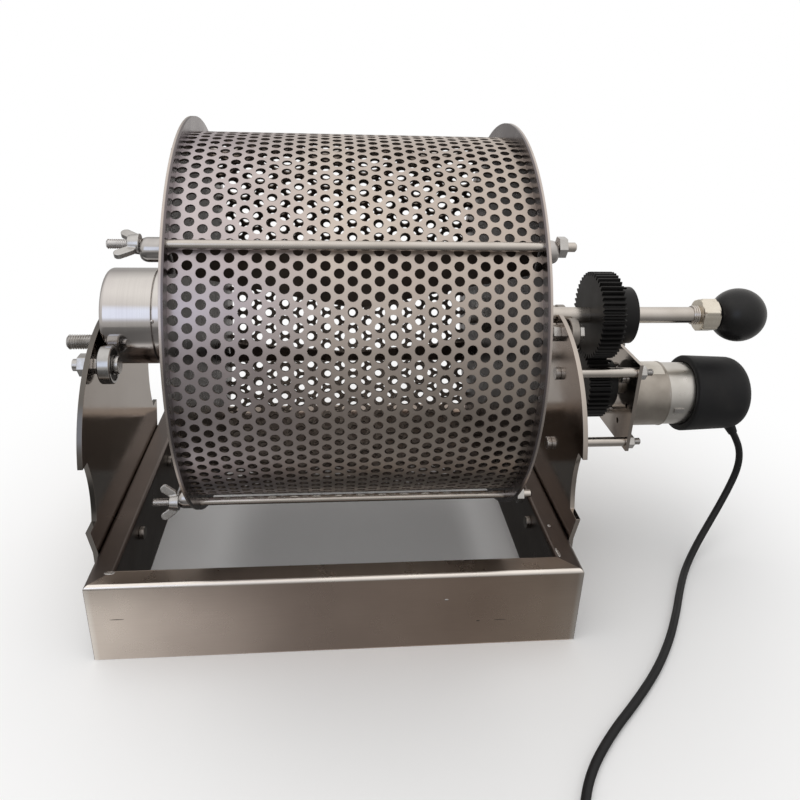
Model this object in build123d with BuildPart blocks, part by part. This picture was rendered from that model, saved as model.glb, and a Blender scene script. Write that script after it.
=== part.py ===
"""Electric drum roaster.

A perforated drum lies on four ball bearings above an open base frame. A geared motor turns
it through a pair of spur gears, and a ball knob lifts it off its bearings. X runs along the
drum's axis with the motor on the +X side, -Y is the front and Z is up. The origin lies on
the surface that the base stands on, in the middle of the roaster's length and width.
All sizes are millimetres. Distances named ..._x are counted along the axis from the middle
of the drum, and drops are counted down from the drum's axis.
"""
import os
from math import acos, cos, pi, radians, sin, sqrt, tan

from build123d import *

os.makedirs("parts", exist_ok=True)

# Fits
seat_clearance = 0.05
running_clearance = 0.08
bolt_clearance = 0.15
roller_gap = 0.3
stop_gap = 0.4

# Drum
axis_height = 143.3
drum_length = 157.0
end_plate_radius = 100.0
end_plate_thickness = 2.0
shell_thickness = 1.0
opening_columns = 7
openings_round = 22
opening_radius = 9.0
opening_sides = 6
opening_margin = 2.0

# Mixing vanes welded along the inside of the shell: one comes to a point, the other is notched
vane_thickness = 1.5
vane_tilt = 30.0
vane_rod_offset = 1.0
vane_end_gap = 0.5
pointed_vane_end_depth = 14.5
pointed_vane_middle_depth = 34.0
notched_vane_end_depth = 15.6
notched_vane_middle_depth = 6.4

# Tie rods that clamp the end plates on the shell
tie_rod_count = 4
tie_rod_radius = 2.0
tie_rod_edge_distance = 4.0
rod_shell_gap = 1.0
first_rod_angle = 143.0
rod_bush_radius = 5.3
left_bush_length = 8.0
right_bush_length = 4.0
rod_nut_across_flats = 8.0
rod_nut_height = 3.5
rod_dome_length = 4.5
rod_dome_radius = 1.5

# Wing nuts
wing_nut_base_radius = 4.2
wing_nut_top_radius = 3.6
wing_nut_body_height = 4.5
wing_thickness = 2.2
wing_length = 4.6
wing_width = 4.0
wing_slant = 55.0
wing_centre_radius = 5.6
wing_centre_height = 5.0
rod_past_wing_nut = 8.5
wing_nut_turns = (20.0, 75.0, 130.0, 50.0)

# Neck: a collar and a drawn cup that run on the left rollers
neck_radius = 25.0
neck_wall = 1.5
neck_collar_length = 20.5
neck_slit = 0.8
neck_end_clearance = 1.2
neck_edge_radius = 2.5
spigot_length = 6.0
spigot_wall = 1.2

# Shaft, lock nut and ball knob
shaft_radius = 4.5
shaft_length = 126.0
shaft_flare_radius = 7.0
shaft_flare_length = 4.0
thread_radius = 5.0
thread_before_nut = 3.5
hub_nut_across_flats = 17.0
hub_nut_height = 8.0
shaft_past_hub_nut = 5.0
lock_nut_across_flats = 17.0
lock_nut_height = 10.0
knob_radius = 15.0
knob_face_radius = 5.6
thread_in_knob = 10.0

# Gear pair
gear_module = 1.0
drum_gear_teeth = 46
pinion_teeth = 37
pressure_angle = 20.0
addendum_factor = 0.95
dedendum_factor = 1.25
flank_points = 4
gear_backlash = 0.2
gear_width = 12.3
gear_roller_gap = 6.3
drum_gear_boss_radius = 15.7
drum_gear_boss_length = 10.4
pinion_boss_radius = 13.5
pinion_boss_length = 6.0
grub_screw_radius = 2.0
grub_screw_recess = 1.0

# Geared motor
bracket_gear_gap = 0.5
bracket_thickness = 2.0
bracket_side_margin = 4.0
bracket_top_margin = 6.0
bracket_bottom_margin = 4.0
gearbox_radius = 18.5
gearbox_length = 22.5
output_offset = 7.0
output_boss_radius = 6.0
output_boss_length = 3.5
motor_shaft_radius = 3.0
motor_shaft_engagement = 10.0
motor_can_radius = 18.0
motor_can_length = 45.8
cap_overlap_start = 14.0
cap_wall = 4.0
cap_end_wall = 5.0
cap_edge_radius = 9.0
motor_screw_radius = 1.5
motor_screw_head_radius = 2.75
motor_screw_head_height = 2.0
motor_screw_depth = 5.0
motor_screw_circle_radius = 15.5
motor_hole_angles = (0, 60, 120, 180, 240, 300)
motor_screw_angles = (0, 60, 120, 300)

# Standoffs between the right upright and the motor bracket
standoff_radius = 2.75
standoff_half_spacing = 20.0
standoff_rise = 15.5
standoff_fall = 27.5
standoff_screw_radius = 2.0
standoff_screw_depth = 8.0
standoff_stud_projection = 7.5
small_nut_across_flats = 7.0
small_nut_height = 3.2
small_head_radius = 3.5
small_head_height = 2.6

# Base frame
left_upright_gap = 47.5
right_upright_gap = 32.5
frame_depth = 182.0
rail_width = 12.0
rail_height = 44.0
rail_sheet = 1.5
rail_bend_radius = 2.0
frame_screw_radius = 2.0
frame_screw_half_spacing = 36.4
frame_screw_height = 32.9
frame_screw_tip = 1.5

# Uprights
upright_thickness = 2.5
dome_radius = 70.0
dome_top_rise = 3.2
foot_height = 15.3
waist_height = 33.0
waist_half_width = 58.5
shoulder_half_width = 61.5
foot_half_width = 71.0
skirt_half_width = 66.0
skirt_height = 30.0
shaft_notch_clearance = 2.0

# Bearings under the neck (left) and under the shaft (right)
left_roller_radius = 9.5
left_roller_width = 6.0
left_inner_ring_radius = 4.9
left_bolt_radius = 3.0
left_bolt_head_radius = 4.5
left_bolt_head_height = 2.5
left_spacer_across_flats = 8.0
left_spacer_length = 3.0
left_nut_across_flats = 10.0
left_nut_height = 5.0
left_bolt_tip = 3.0
left_roller_angle = 23.5
right_roller_radius = 8.0
right_roller_width = 5.0
right_inner_ring_radius = 4.2
right_bolt_radius = 2.5
right_bolt_across_flats = 8.0
right_bolt_head_height = 3.5
right_spacer_radius = 4.0
right_spacer_length = 2.0
right_nut_across_flats = 8.0
right_nut_height = 4.0
right_bolt_tip = 2.5
right_roller_angle = 28.6
roller_chamfer = 0.5
shield_depth = 0.4
shield_inset = 1.6

# Axial stop in the left upright
stop_bolt_radius = 4.0
stop_bolt_drop = 14.6
stop_bolt_projection = 21.0
stop_nut_across_flats = 13.0
stop_nut_height = 6.5

# Cord, its grommet, tie and plug
cord_radius = 2.0
grommet_angle = 60.0
grommet_roll = 17.0
grommet_radius = 3.4
grommet_depth = 2.0
grommet_projection = 4.0
grommet_taper = 8.0
cord_first_run = 7.0
cord_bend_share = 0.45
coil_turn_pitch = 4.6
coil_layer_pitch = 4.6
coil_outer_radius = 28.0
coil_reversal_step = 2.2
coil_half_turns_in = 6
coil_half_turns_out = 5
coil_tail = 24.0
tie_thickness = 0.6
tie_width = 6.0
tie_clearance = 0.45
plug_grip_radius = 6.2
plug_relief_length = 10.0
plug_grip_length = 18.0
plug_barrel_radius = 2.75
plug_barrel_wall = 1.4
plug_barrel_length = 9.5

# Places along the axis, worked out from the sizes above
left_face_x = -drum_length / 2
right_face_x = drum_length / 2
upright_left_x = left_face_x - left_upright_gap
upright_right_x = right_face_x + right_upright_gap
upright_left_outer_x = upright_left_x - upright_thickness
upright_right_outer_x = upright_right_x + upright_thickness
neck_slit_x = left_face_x - neck_collar_length
neck_cup_x = neck_slit_x - neck_slit
neck_end_x = upright_left_x + neck_end_clearance
neck_cup_length = neck_cup_x - neck_end_x
left_roller_x = upright_left_x + left_spacer_length
left_roller_end_x = left_roller_x + left_roller_width
right_roller_x = upright_right_outer_x + right_spacer_length
right_roller_end_x = right_roller_x + right_roller_width
stop_bolt_end_x = upright_left_outer_x - stop_bolt_projection
hub_nut_x = right_face_x - end_plate_thickness - hub_nut_height
shaft_inner_x = hub_nut_x - shaft_past_hub_nut
thread_x = shaft_inner_x + shaft_length
lock_nut_x = thread_x + thread_before_nut
knob_face_x = lock_nut_x + lock_nut_height
knob_centre_x = knob_face_x + sqrt(knob_radius**2 - knob_face_radius**2)
knob_end_x = knob_centre_x + knob_radius
gear_x = right_roller_end_x + right_bolt_head_height + gear_roller_gap
gear_boss_x = gear_x + gear_width
bracket_x = gear_boss_x + drum_gear_boss_length + bracket_gear_gap
gearbox_x = bracket_x + bracket_thickness
motor_can_x = gearbox_x + gearbox_length
motor_can_end_x = motor_can_x + motor_can_length
cap_x = motor_can_x + cap_overlap_start
cap_end_x = motor_can_end_x + seat_clearance + cap_end_wall
drum_middle_x = -(stop_bolt_end_x + knob_end_x) / 2

# Centres seen along the axis, as (Y, rise above the axis)
gear_centre_distance = gear_module * (drum_gear_teeth + pinion_teeth) / 2
pinion_centre = (0, -gear_centre_distance)
motor_centre = (0, -gear_centre_distance - output_offset)
cap_radius = motor_can_radius + seat_clearance + cap_wall
tie_rod_circle_radius = end_plate_radius - tie_rod_edge_distance
shell_radius = tie_rod_circle_radius - tie_rod_radius - rod_shell_gap
rod_angles = [radians(first_rod_angle + 360 * rod / tie_rod_count) for rod in range(tie_rod_count)]
rod_points = [(tie_rod_circle_radius * cos(a), tie_rod_circle_radius * sin(a)) for a in rod_angles]
standoff_top_drop = gear_centre_distance - standoff_rise
standoff_bottom_drop = gear_centre_distance + standoff_fall
standoff_points = [
    (side * standoff_half_spacing, -drop)
    for side in (-1, 1)
    for drop in (standoff_top_drop, standoff_bottom_drop)
]
frame_screw_drop = axis_height - frame_screw_height
frame_screw_points = [(side * frame_screw_half_spacing, -frame_screw_drop) for side in (-1, 1)]
stop_bolt_point = (0, -stop_bolt_drop)


def polar_points(radius, angles, centre):
    """Points on a circle about a centre, at angles in degrees."""
    return [
        (centre[0] + radius * cos(radians(angle)), centre[1] + radius * sin(radians(angle)))
        for angle in angles
    ]


def cradle_points(carried_radius, roller_radius, angle):
    """Front and back roller centres that carry a shaft on the axis, below it by the angle."""
    reach = carried_radius + roller_radius + roller_gap
    return [
        (side * reach * cos(radians(angle)), -reach * sin(radians(angle))) for side in (-1, 1)
    ]


left_roller_points = cradle_points(neck_radius, left_roller_radius, left_roller_angle)
right_roller_points = cradle_points(shaft_radius, right_roller_radius, right_roller_angle)
motor_hole_points = polar_points(motor_screw_circle_radius, motor_hole_angles, motor_centre)
motor_screw_points = polar_points(motor_screw_circle_radius, motor_screw_angles, motor_centre)


def axis_plane(x, centre=(0, 0)):
    """Plane across the drum's axis: local x is Y, local y is up, the normal is +X."""
    origin = (drum_middle_x + x, centre[0], axis_height + centre[1])
    return Plane(origin=origin, x_dir=(0, 1, 0), z_dir=(1, 0, 0))


def write(piece, name):
    """Label a finished piece and write its STEP file."""
    piece.part.label = name
    export_step(piece.part, f"parts/{name}.step")


def tubes(start_x, end_x, radius, points, bore=0.0):
    """Round bars or tubes along the axis at the given points."""
    with BuildPart() as group:
        with BuildSketch(axis_plane(start_x)):
            with Locations(*points):
                Circle(radius)
            if bore:
                with Locations(*points):
                    Circle(bore, mode=Mode.SUBTRACT)
        extrude(amount=end_x - start_x)
    return group


def hex_nuts(start_x, end_x, across_flats, bore, points):
    """Hexagon nuts or hexagon spacers along the axis at the given points."""
    with BuildPart() as group:
        with BuildSketch(axis_plane(start_x)):
            with Locations(*points):
                RegularPolygon(across_flats / 2, 6, major_radius=False)
            with Locations(*points):
                Circle(bore, mode=Mode.SUBTRACT)
        extrude(amount=end_x - start_x)
    return group


def screws(seat_x, tip_x, shank_radius, head_radius, head_height, points, head_sides=0):
    """Headed screws whose heads seat at seat_x and whose shanks end at tip_x."""
    head_way = 1 if seat_x > tip_x else -1
    with BuildPart() as group:
        with BuildSketch(axis_plane(seat_x)):
            with Locations(*points):
                if head_sides:
                    RegularPolygon(head_radius, head_sides, major_radius=False)
                else:
                    Circle(head_radius)
        extrude(amount=head_way * head_height)
        with BuildSketch(axis_plane(seat_x)):
            with Locations(*points):
                Circle(shank_radius)
        extrude(amount=tip_x - seat_x)
    return group


# Base frame: four mitred channels
def channel_band(length, inset, reach):
    """Plan of a strip of a mitred rail between two distances from its outer face."""
    return [
        (-length / 2 + inset, inset),
        (length / 2 - inset, inset),
        (length / 2 - reach, reach),
        (-length / 2 + reach, reach),
    ]


def mitred_rail(length, plane, screw_points=()):
    """Channel folded from sheet, open below, with its outer face on the plane's x axis."""
    with BuildPart() as rail:
        with BuildSketch(plane):
            with BuildLine():
                Polyline(*channel_band(length, 0, rail_width), close=True)
            make_face()
        extrude(amount=rail_height)
        top_edges = rail.edges().group_by(Axis.Z)[-1]
        fillet(top_edges.sort_by(SortBy.LENGTH)[-2:], rail_bend_radius)
        with BuildSketch(plane):
            with BuildLine():
                Polyline(*channel_band(length, rail_sheet, rail_width - rail_sheet), close=True)
            make_face()
        extrude(amount=rail_height - rail_sheet, mode=Mode.SUBTRACT)
        if screw_points:
            with BuildSketch(axis_plane(plane.origin.X - drum_middle_x)):
                with Locations(*screw_points):
                    Circle(frame_screw_radius + bolt_clearance)
            extrude(amount=rail_width, both=True, mode=Mode.SUBTRACT)
    return rail


frame_width = upright_right_x - upright_left_x
frame_left = drum_middle_x + upright_left_x
frame_right = drum_middle_x + upright_right_x
frame_middle = (frame_left + frame_right) / 2
rail_front = mitred_rail(frame_width, Plane((frame_middle, -frame_depth / 2, 0), x_dir=(1, 0, 0)))
rail_back = mitred_rail(frame_width, Plane((frame_middle, frame_depth / 2, 0), x_dir=(-1, 0, 0)))
rail_left = mitred_rail(frame_depth, Plane((frame_left, 0, 0), x_dir=(0, -1, 0)), frame_screw_points)
rail_right = mitred_rail(frame_depth, Plane((frame_right, 0, 0), x_dir=(0, 1, 0)), frame_screw_points)
write(rail_front, "rail_front")
write(rail_back, "rail_back")
write(rail_left, "rail_left")
write(rail_right, "rail_right")


# Uprights: domed plates with a waist above the foot and a skirt outside the rail
def upright(inner_x, outer_x, holes, notch_radius=0.0):
    """One upright. holes lists (points, radius) pairs, and a notch opens the top for the shaft."""
    rail_top_drop = axis_height - rail_height
    skirt_drop = rail_top_drop + skirt_height
    waist_bottom_drop = rail_top_drop - foot_height
    waist_middle_drop = waist_bottom_drop - waist_height / 2
    waist_top_drop = waist_bottom_drop - waist_height
    dome_drop = dome_radius - dome_top_rise
    dome_half_width = sqrt(dome_radius**2 - (dome_drop - waist_top_drop) ** 2)
    with BuildPart() as plate:
        with BuildSketch(axis_plane(inner_x)):
            with BuildLine():
                ThreePointArc(
                    (-dome_half_width, -waist_top_drop),
                    (0, dome_top_rise),
                    (dome_half_width, -waist_top_drop),
                )
                for side in (-1, 1):
                    Line(
                        (side * dome_half_width, -waist_top_drop),
                        (side * shoulder_half_width, -waist_top_drop),
                    )
                    ThreePointArc(
                        (side * shoulder_half_width, -waist_top_drop),
                        (side * waist_half_width, -waist_middle_drop),
                        (side * shoulder_half_width, -waist_bottom_drop),
                    )
                    Polyline(
                        (side * shoulder_half_width, -waist_bottom_drop),
                        (side * foot_half_width, -waist_bottom_drop),
                        (side * skirt_half_width, -rail_top_drop),
                        (side * skirt_half_width, -skirt_drop),
                    )
                Line((-skirt_half_width, -skirt_drop), (skirt_half_width, -skirt_drop))
            make_face()
            for points, radius in holes:
                with Locations(*points):
                    Circle(radius, mode=Mode.SUBTRACT)
            if notch_radius:
                Circle(notch_radius, mode=Mode.SUBTRACT)
                with Locations((0, dome_top_rise)):
                    Rectangle(2 * notch_radius, 2 * dome_top_rise, mode=Mode.SUBTRACT)
        extrude(amount=outer_x - inner_x)
    return plate


frame_screw_hole = (frame_screw_points, frame_screw_radius + bolt_clearance)
left_upright_holes = [
    frame_screw_hole,
    (left_roller_points, left_bolt_radius + bolt_clearance),
    ([stop_bolt_point], stop_bolt_radius + bolt_clearance),
]
right_upright_holes = [
    frame_screw_hole,
    (right_roller_points, right_bolt_radius + bolt_clearance),
    (standoff_points, standoff_screw_radius + bolt_clearance),
]
upright_left = upright(upright_left_x, upright_left_outer_x, left_upright_holes)
upright_right = upright(
    upright_right_x,
    upright_right_outer_x,
    right_upright_holes,
    shaft_radius + shaft_notch_clearance,
)
write(upright_left, "upright_left")
write(upright_right, "upright_right")

# Screws that hold the uprights on the side rails, heads inside, nuts outside
with BuildPart() as frame_screws:
    for seat_x, outer_x, way in (
        (upright_left_x + rail_width, upright_left_outer_x, -1),
        (upright_right_x - rail_width, upright_right_outer_x, 1),
    ):
        tip_x = outer_x + way * (small_nut_height + frame_screw_tip)
        add(
            screws(
                seat_x,
                tip_x,
                frame_screw_radius,
                small_head_radius,
                small_head_height,
                frame_screw_points,
            ).part
        )
write(frame_screws, "frame_screws")

with BuildPart() as frame_nuts:
    for outer_x, way in ((upright_left_outer_x, -1), (upright_right_outer_x, 1)):
        add(
            hex_nuts(
                outer_x,
                outer_x + way * small_nut_height,
                small_nut_across_flats,
                frame_screw_radius + seat_clearance,
                frame_screw_points,
            ).part
        )
write(frame_nuts, "frame_nuts")


# Ball bearings: fixed inner rings on bolts, outer rings that turn under the drum
def roller(start_x, width, outer_radius, inner_ring_radius, point):
    """Outer ring of a bearing with its two sunk shields."""
    with BuildPart() as ring:
        with BuildSketch(axis_plane(start_x)):
            with Locations(point):
                Circle(outer_radius)
                Circle(inner_ring_radius + running_clearance, mode=Mode.SUBTRACT)
        extrude(amount=width)
        rims = ring.edges().filter_by(GeomType.CIRCLE)
        chamfer(rims.sort_by(SortBy.RADIUS)[-2:], roller_chamfer)
        for face_x, way in ((start_x, 1), (start_x + width, -1)):
            with BuildSketch(axis_plane(face_x)):
                with Locations(point):
                    Circle(outer_radius - shield_inset)
                    Circle(inner_ring_radius + running_clearance, mode=Mode.SUBTRACT)
            extrude(amount=way * shield_depth, mode=Mode.SUBTRACT)
    return ring


left_nut_end_x = upright_left_outer_x - left_nut_height
left_bore = left_bolt_radius + seat_clearance
left_roller_spacers = hex_nuts(
    upright_left_x, left_roller_x, left_spacer_across_flats, left_bore, left_roller_points
)
left_inner_rings = tubes(
    left_roller_x, left_roller_end_x, left_inner_ring_radius, left_roller_points, left_bore
)
left_roller_bolts = screws(
    left_roller_end_x,
    left_nut_end_x - left_bolt_tip,
    left_bolt_radius,
    left_bolt_head_radius,
    left_bolt_head_height,
    left_roller_points,
)
left_roller_nuts = hex_nuts(
    upright_left_outer_x, left_nut_end_x, left_nut_across_flats, left_bore, left_roller_points
)
write(left_roller_spacers, "left_roller_spacers")
write(left_inner_rings, "left_inner_rings")
write(left_roller_bolts, "left_roller_bolts")
write(left_roller_nuts, "left_roller_nuts")

right_nut_end_x = upright_right_x - right_nut_height
right_bore = right_bolt_radius + seat_clearance
right_roller_spacers = tubes(
    upright_right_outer_x, right_roller_x, right_spacer_radius, right_roller_points, right_bore
)
right_inner_rings = tubes(
    right_roller_x, right_roller_end_x, right_inner_ring_radius, right_roller_points, right_bore
)
right_roller_bolts = screws(
    right_roller_end_x,
    right_nut_end_x - right_bolt_tip,
    right_bolt_radius,
    right_bolt_across_flats / 2,
    right_bolt_head_height,
    right_roller_points,
    head_sides=6,
)
right_roller_nuts = hex_nuts(
    right_nut_end_x, upright_right_x, right_nut_across_flats, right_bore, right_roller_points
)
write(right_roller_spacers, "right_roller_spacers")
write(right_inner_rings, "right_inner_rings")
write(right_roller_bolts, "right_roller_bolts")
write(right_roller_nuts, "right_roller_nuts")

roller_names = ("front", "back")
for place, point in zip(roller_names, left_roller_points):
    left_ring = roller(
        left_roller_x, left_roller_width, left_roller_radius, left_inner_ring_radius, point
    )
    write(left_ring, f"roller_left_{place}")
for place, point in zip(roller_names, right_roller_points):
    right_ring = roller(
        right_roller_x, right_roller_width, right_roller_radius, right_inner_ring_radius, point
    )
    write(right_ring, f"roller_right_{place}")

# Axial stop: a threaded bolt whose tip stands just off the neck's closed end
stop_bolt = tubes(stop_bolt_end_x, neck_end_x - stop_gap, stop_bolt_radius, [stop_bolt_point])
stop_bolt_nut = hex_nuts(
    upright_left_outer_x - stop_nut_height,
    upright_left_outer_x,
    stop_nut_across_flats,
    stop_bolt_radius + seat_clearance,
    [stop_bolt_point],
)
write(stop_bolt, "stop_bolt")
write(stop_bolt_nut, "stop_bolt_nut")

# Standoffs with a screw at the upright and a stud and nut at the bracket
standoff_bore = standoff_screw_radius + seat_clearance
standoffs = tubes(
    upright_right_outer_x, bracket_x, standoff_radius, standoff_points, standoff_bore
)
standoff_screws = screws(
    upright_right_x,
    upright_right_outer_x + standoff_screw_depth,
    standoff_screw_radius,
    small_head_radius,
    small_head_height,
    standoff_points,
)
standoff_studs = tubes(
    bracket_x - standoff_screw_depth,
    gearbox_x + standoff_stud_projection,
    standoff_screw_radius,
    standoff_points,
)
standoff_nuts = hex_nuts(
    gearbox_x,
    gearbox_x + small_nut_height,
    small_nut_across_flats,
    standoff_bore,
    standoff_points,
)
write(standoffs, "standoffs")
write(standoff_screws, "standoff_screws")
write(standoff_studs, "standoff_studs")
write(standoff_nuts, "standoff_nuts")

# Motor bracket: a plate with the gearbox's boss and screw circle
bracket_top_drop = standoff_top_drop - bracket_top_margin
bracket_bottom_drop = standoff_bottom_drop + bracket_bottom_margin
with BuildPart() as motor_bracket:
    with BuildSketch(axis_plane(bracket_x)):
        with Locations((0, -(bracket_top_drop + bracket_bottom_drop) / 2)):
            Rectangle(
                2 * (standoff_half_spacing + bracket_side_margin),
                bracket_bottom_drop - bracket_top_drop,
            )
        with Locations(pinion_centre):
            Circle(output_boss_radius + bolt_clearance, mode=Mode.SUBTRACT)
        with Locations(*motor_hole_points):
            Circle(motor_screw_radius + bolt_clearance, mode=Mode.SUBTRACT)
        with Locations(*standoff_points):
            Circle(standoff_screw_radius + bolt_clearance, mode=Mode.SUBTRACT)
    extrude(amount=bracket_thickness)
write(motor_bracket, "motor_bracket")

# Gearbox with the offset boss of its output shaft
with BuildPart() as gearbox:
    with BuildSketch(axis_plane(gearbox_x)):
        with Locations(motor_centre):
            Circle(gearbox_radius)
    extrude(amount=gearbox_length)
    with BuildSketch(axis_plane(bracket_x - output_boss_length)):
        with Locations(pinion_centre):
            Circle(output_boss_radius)
    extrude(amount=output_boss_length + bracket_thickness)
    with BuildSketch(axis_plane(bracket_x - output_boss_length)):
        with Locations(pinion_centre):
            Circle(motor_shaft_radius + running_clearance)
    extrude(
        amount=output_boss_length + bracket_thickness + motor_shaft_engagement, mode=Mode.SUBTRACT
    )
    with BuildSketch(axis_plane(gearbox_x)):
        with Locations(*motor_hole_points):
            Circle(motor_screw_radius + seat_clearance)
    extrude(amount=motor_screw_depth + bolt_clearance, mode=Mode.SUBTRACT)
write(gearbox, "gearbox")

motor_screws = screws(
    bracket_x,
    gearbox_x + motor_screw_depth,
    motor_screw_radius,
    motor_screw_head_radius,
    motor_screw_head_height,
    motor_screw_points,
)
write(motor_screws, "motor_screws")

motor_can = tubes(motor_can_x, motor_can_end_x, motor_can_radius, [motor_centre])
write(motor_can, "motor_can")

# Rubber cap over the motor, with a grommet sunk in its rounded edge where the cord leaves
cap_edge_centre_radius = cap_radius - cap_edge_radius
grommet_reach = cap_edge_centre_radius + cap_edge_radius * sin(radians(grommet_angle))
cap_down = Vector(0, -sin(radians(grommet_roll)), -cos(radians(grommet_roll)))
cap_edge_x = cap_end_x - cap_edge_radius * (1 - cos(radians(grommet_angle)))
motor_axis_point = Vector(drum_middle_x, 0, axis_height - gear_centre_distance - output_offset)
grommet_point = motor_axis_point + Vector(cap_edge_x, 0, 0) + cap_down * grommet_reach
grommet_way = Vector(cos(radians(grommet_angle)), 0, 0) + cap_down * sin(radians(grommet_angle))
grommet_seat = Plane(origin=grommet_point - grommet_way * grommet_depth, z_dir=grommet_way)

with BuildPart() as motor_cap:
    with BuildSketch(axis_plane(cap_x)):
        with Locations(motor_centre):
            Circle(cap_radius)
    extrude(amount=cap_end_x - cap_x)
    fillet(motor_cap.faces().sort_by(Axis.X)[-1].edges(), cap_edge_radius)
    with BuildSketch(axis_plane(cap_x)):
        with Locations(motor_centre):
            Circle(motor_can_radius + seat_clearance)
    extrude(amount=motor_can_end_x + seat_clearance - cap_x, mode=Mode.SUBTRACT)
    with BuildSketch(grommet_seat):
        Circle(grommet_radius + seat_clearance)
    extrude(amount=grommet_depth + cap_edge_radius, mode=Mode.SUBTRACT)
write(motor_cap, "motor_cap")

with BuildPart() as cord_grommet:
    with BuildSketch(grommet_seat):
        Circle(grommet_radius)
    extrude(amount=grommet_depth + grommet_projection, taper=grommet_taper)
write(cord_grommet, "cord_grommet")


# Gears
def gear_outline(teeth, first_tooth_angle):
    """Points of a spur gear's outline with involute flanks, about its centre."""
    pitch_radius = gear_module * teeth / 2
    base_radius = pitch_radius * cos(radians(pressure_angle))
    root_radius = pitch_radius - dedendum_factor * gear_module
    tip_radius = pitch_radius + addendum_factor * gear_module
    flank_start = max(base_radius, root_radius)
    flank_step = (tip_radius - flank_start) / (flank_points - 1)
    flank_radii = [flank_start + flank_step * step for step in range(flank_points)]
    half_pitch_angle = (pi * gear_module / 2 - gear_backlash / 2) / (2 * pitch_radius)

    def involute(angle):
        return tan(angle) - angle

    def half_angle(radius):
        rolled = involute(acos(base_radius / radius))
        return half_pitch_angle + involute(radians(pressure_angle)) - rolled

    tooth_side = [(radius, half_angle(radius)) for radius in flank_radii]
    if root_radius < base_radius:
        tooth_side.insert(0, (root_radius, half_angle(base_radius)))
    outline = []
    for tooth in range(teeth):
        middle = radians(first_tooth_angle) + 2 * pi * tooth / teeth
        outline += [(r * cos(middle - a), r * sin(middle - a)) for r, a in tooth_side]
        outline += [(r * cos(middle + a), r * sin(middle + a)) for r, a in reversed(tooth_side)]
    return outline


def spur_gear(teeth, first_tooth_angle, centre, boss_radius, boss_length, bore_radius):
    """Spur gear with a boss on its motor side and a radial hole for a grub screw."""
    with BuildPart() as gear:
        with BuildSketch(axis_plane(gear_x, centre)):
            with BuildLine():
                Polyline(*gear_outline(teeth, first_tooth_angle), close=True)
            make_face()
        extrude(amount=gear_width)
        with BuildSketch(axis_plane(gear_boss_x, centre)):
            Circle(boss_radius)
        extrude(amount=boss_length)
        with BuildSketch(axis_plane(gear_x, centre)):
            Circle(bore_radius)
        extrude(amount=gear_width + boss_length, mode=Mode.SUBTRACT)
        with BuildSketch(grub_plane(centre, boss_length)):
            Circle(grub_screw_radius + seat_clearance)
        extrude(amount=boss_radius, mode=Mode.SUBTRACT)
    return gear


def grub_plane(centre, boss_length):
    """Plane at a gear's centre, half way along its boss, that faces up."""
    middle_x = drum_middle_x + gear_boss_x + boss_length / 2
    return Plane.XY.offset(axis_height + centre[1]).shift_origin(
        (middle_x, centre[0], axis_height + centre[1])
    )


def grub_screw(centre, boss_length, shaft_surface_radius, boss_radius):
    """Grub screw in a gear's boss, from the shaft's surface to below the boss's surface."""
    with BuildPart() as screw:
        with BuildSketch(grub_plane(centre, boss_length).offset(shaft_surface_radius)):
            Circle(grub_screw_radius)
        extrude(amount=boss_radius - grub_screw_recess - shaft_surface_radius)
    return screw


drum_gear_bore = shaft_radius + seat_clearance
pinion_bore = motor_shaft_radius + seat_clearance
drum_gear = spur_gear(
    drum_gear_teeth, -90, (0, 0), drum_gear_boss_radius, drum_gear_boss_length, drum_gear_bore
)
pinion = spur_gear(
    pinion_teeth,
    90 + 180 / pinion_teeth,
    pinion_centre,
    pinion_boss_radius,
    pinion_boss_length,
    pinion_bore,
)
drum_gear_screw = grub_screw(
    (0, 0), drum_gear_boss_length, drum_gear_bore, drum_gear_boss_radius
)
pinion_screw = grub_screw(pinion_centre, pinion_boss_length, pinion_bore, pinion_boss_radius)
motor_shaft = tubes(
    gear_x, gearbox_x + motor_shaft_engagement - bolt_clearance, motor_shaft_radius, [pinion_centre]
)
write(drum_gear, "drum_gear")
write(pinion, "pinion")
write(drum_gear_screw, "drum_gear_screw")
write(pinion_screw, "pinion_screw")
write(motor_shaft, "motor_shaft")

# Drum shell: the sheet's fine holes are drawn as fewer, wider openings in staggered columns
shell_end_x = right_face_x - end_plate_thickness
shell_bore = shell_radius - shell_thickness
opening_pitch = 2 * (shell_end_x - opening_margin) / opening_columns
opening_planes = []
for column in range(opening_columns):
    column_x = opening_pitch * (column + 0.5 - opening_columns / 2)
    for place in range(openings_round):
        angle = 2 * pi * (place + column % 2 / 2) / openings_round
        column_plane = axis_plane(column_x, (shell_bore * cos(angle), shell_bore * sin(angle)))
        outward = Vector(0, cos(angle), sin(angle))
        opening_planes.append(
            Plane(column_plane.origin - outward * shell_thickness, x_dir=(1, 0, 0), z_dir=outward)
        )
with BuildPart() as drum_shell:
    add(tubes(-shell_end_x, shell_end_x, shell_radius, [(0, 0)], shell_bore).part)
    with BuildSketch(*opening_planes):
        RegularPolygon(opening_radius, opening_sides)
    extrude(amount=3 * shell_thickness, mode=Mode.SUBTRACT)
write(drum_shell, "drum_shell")


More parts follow.
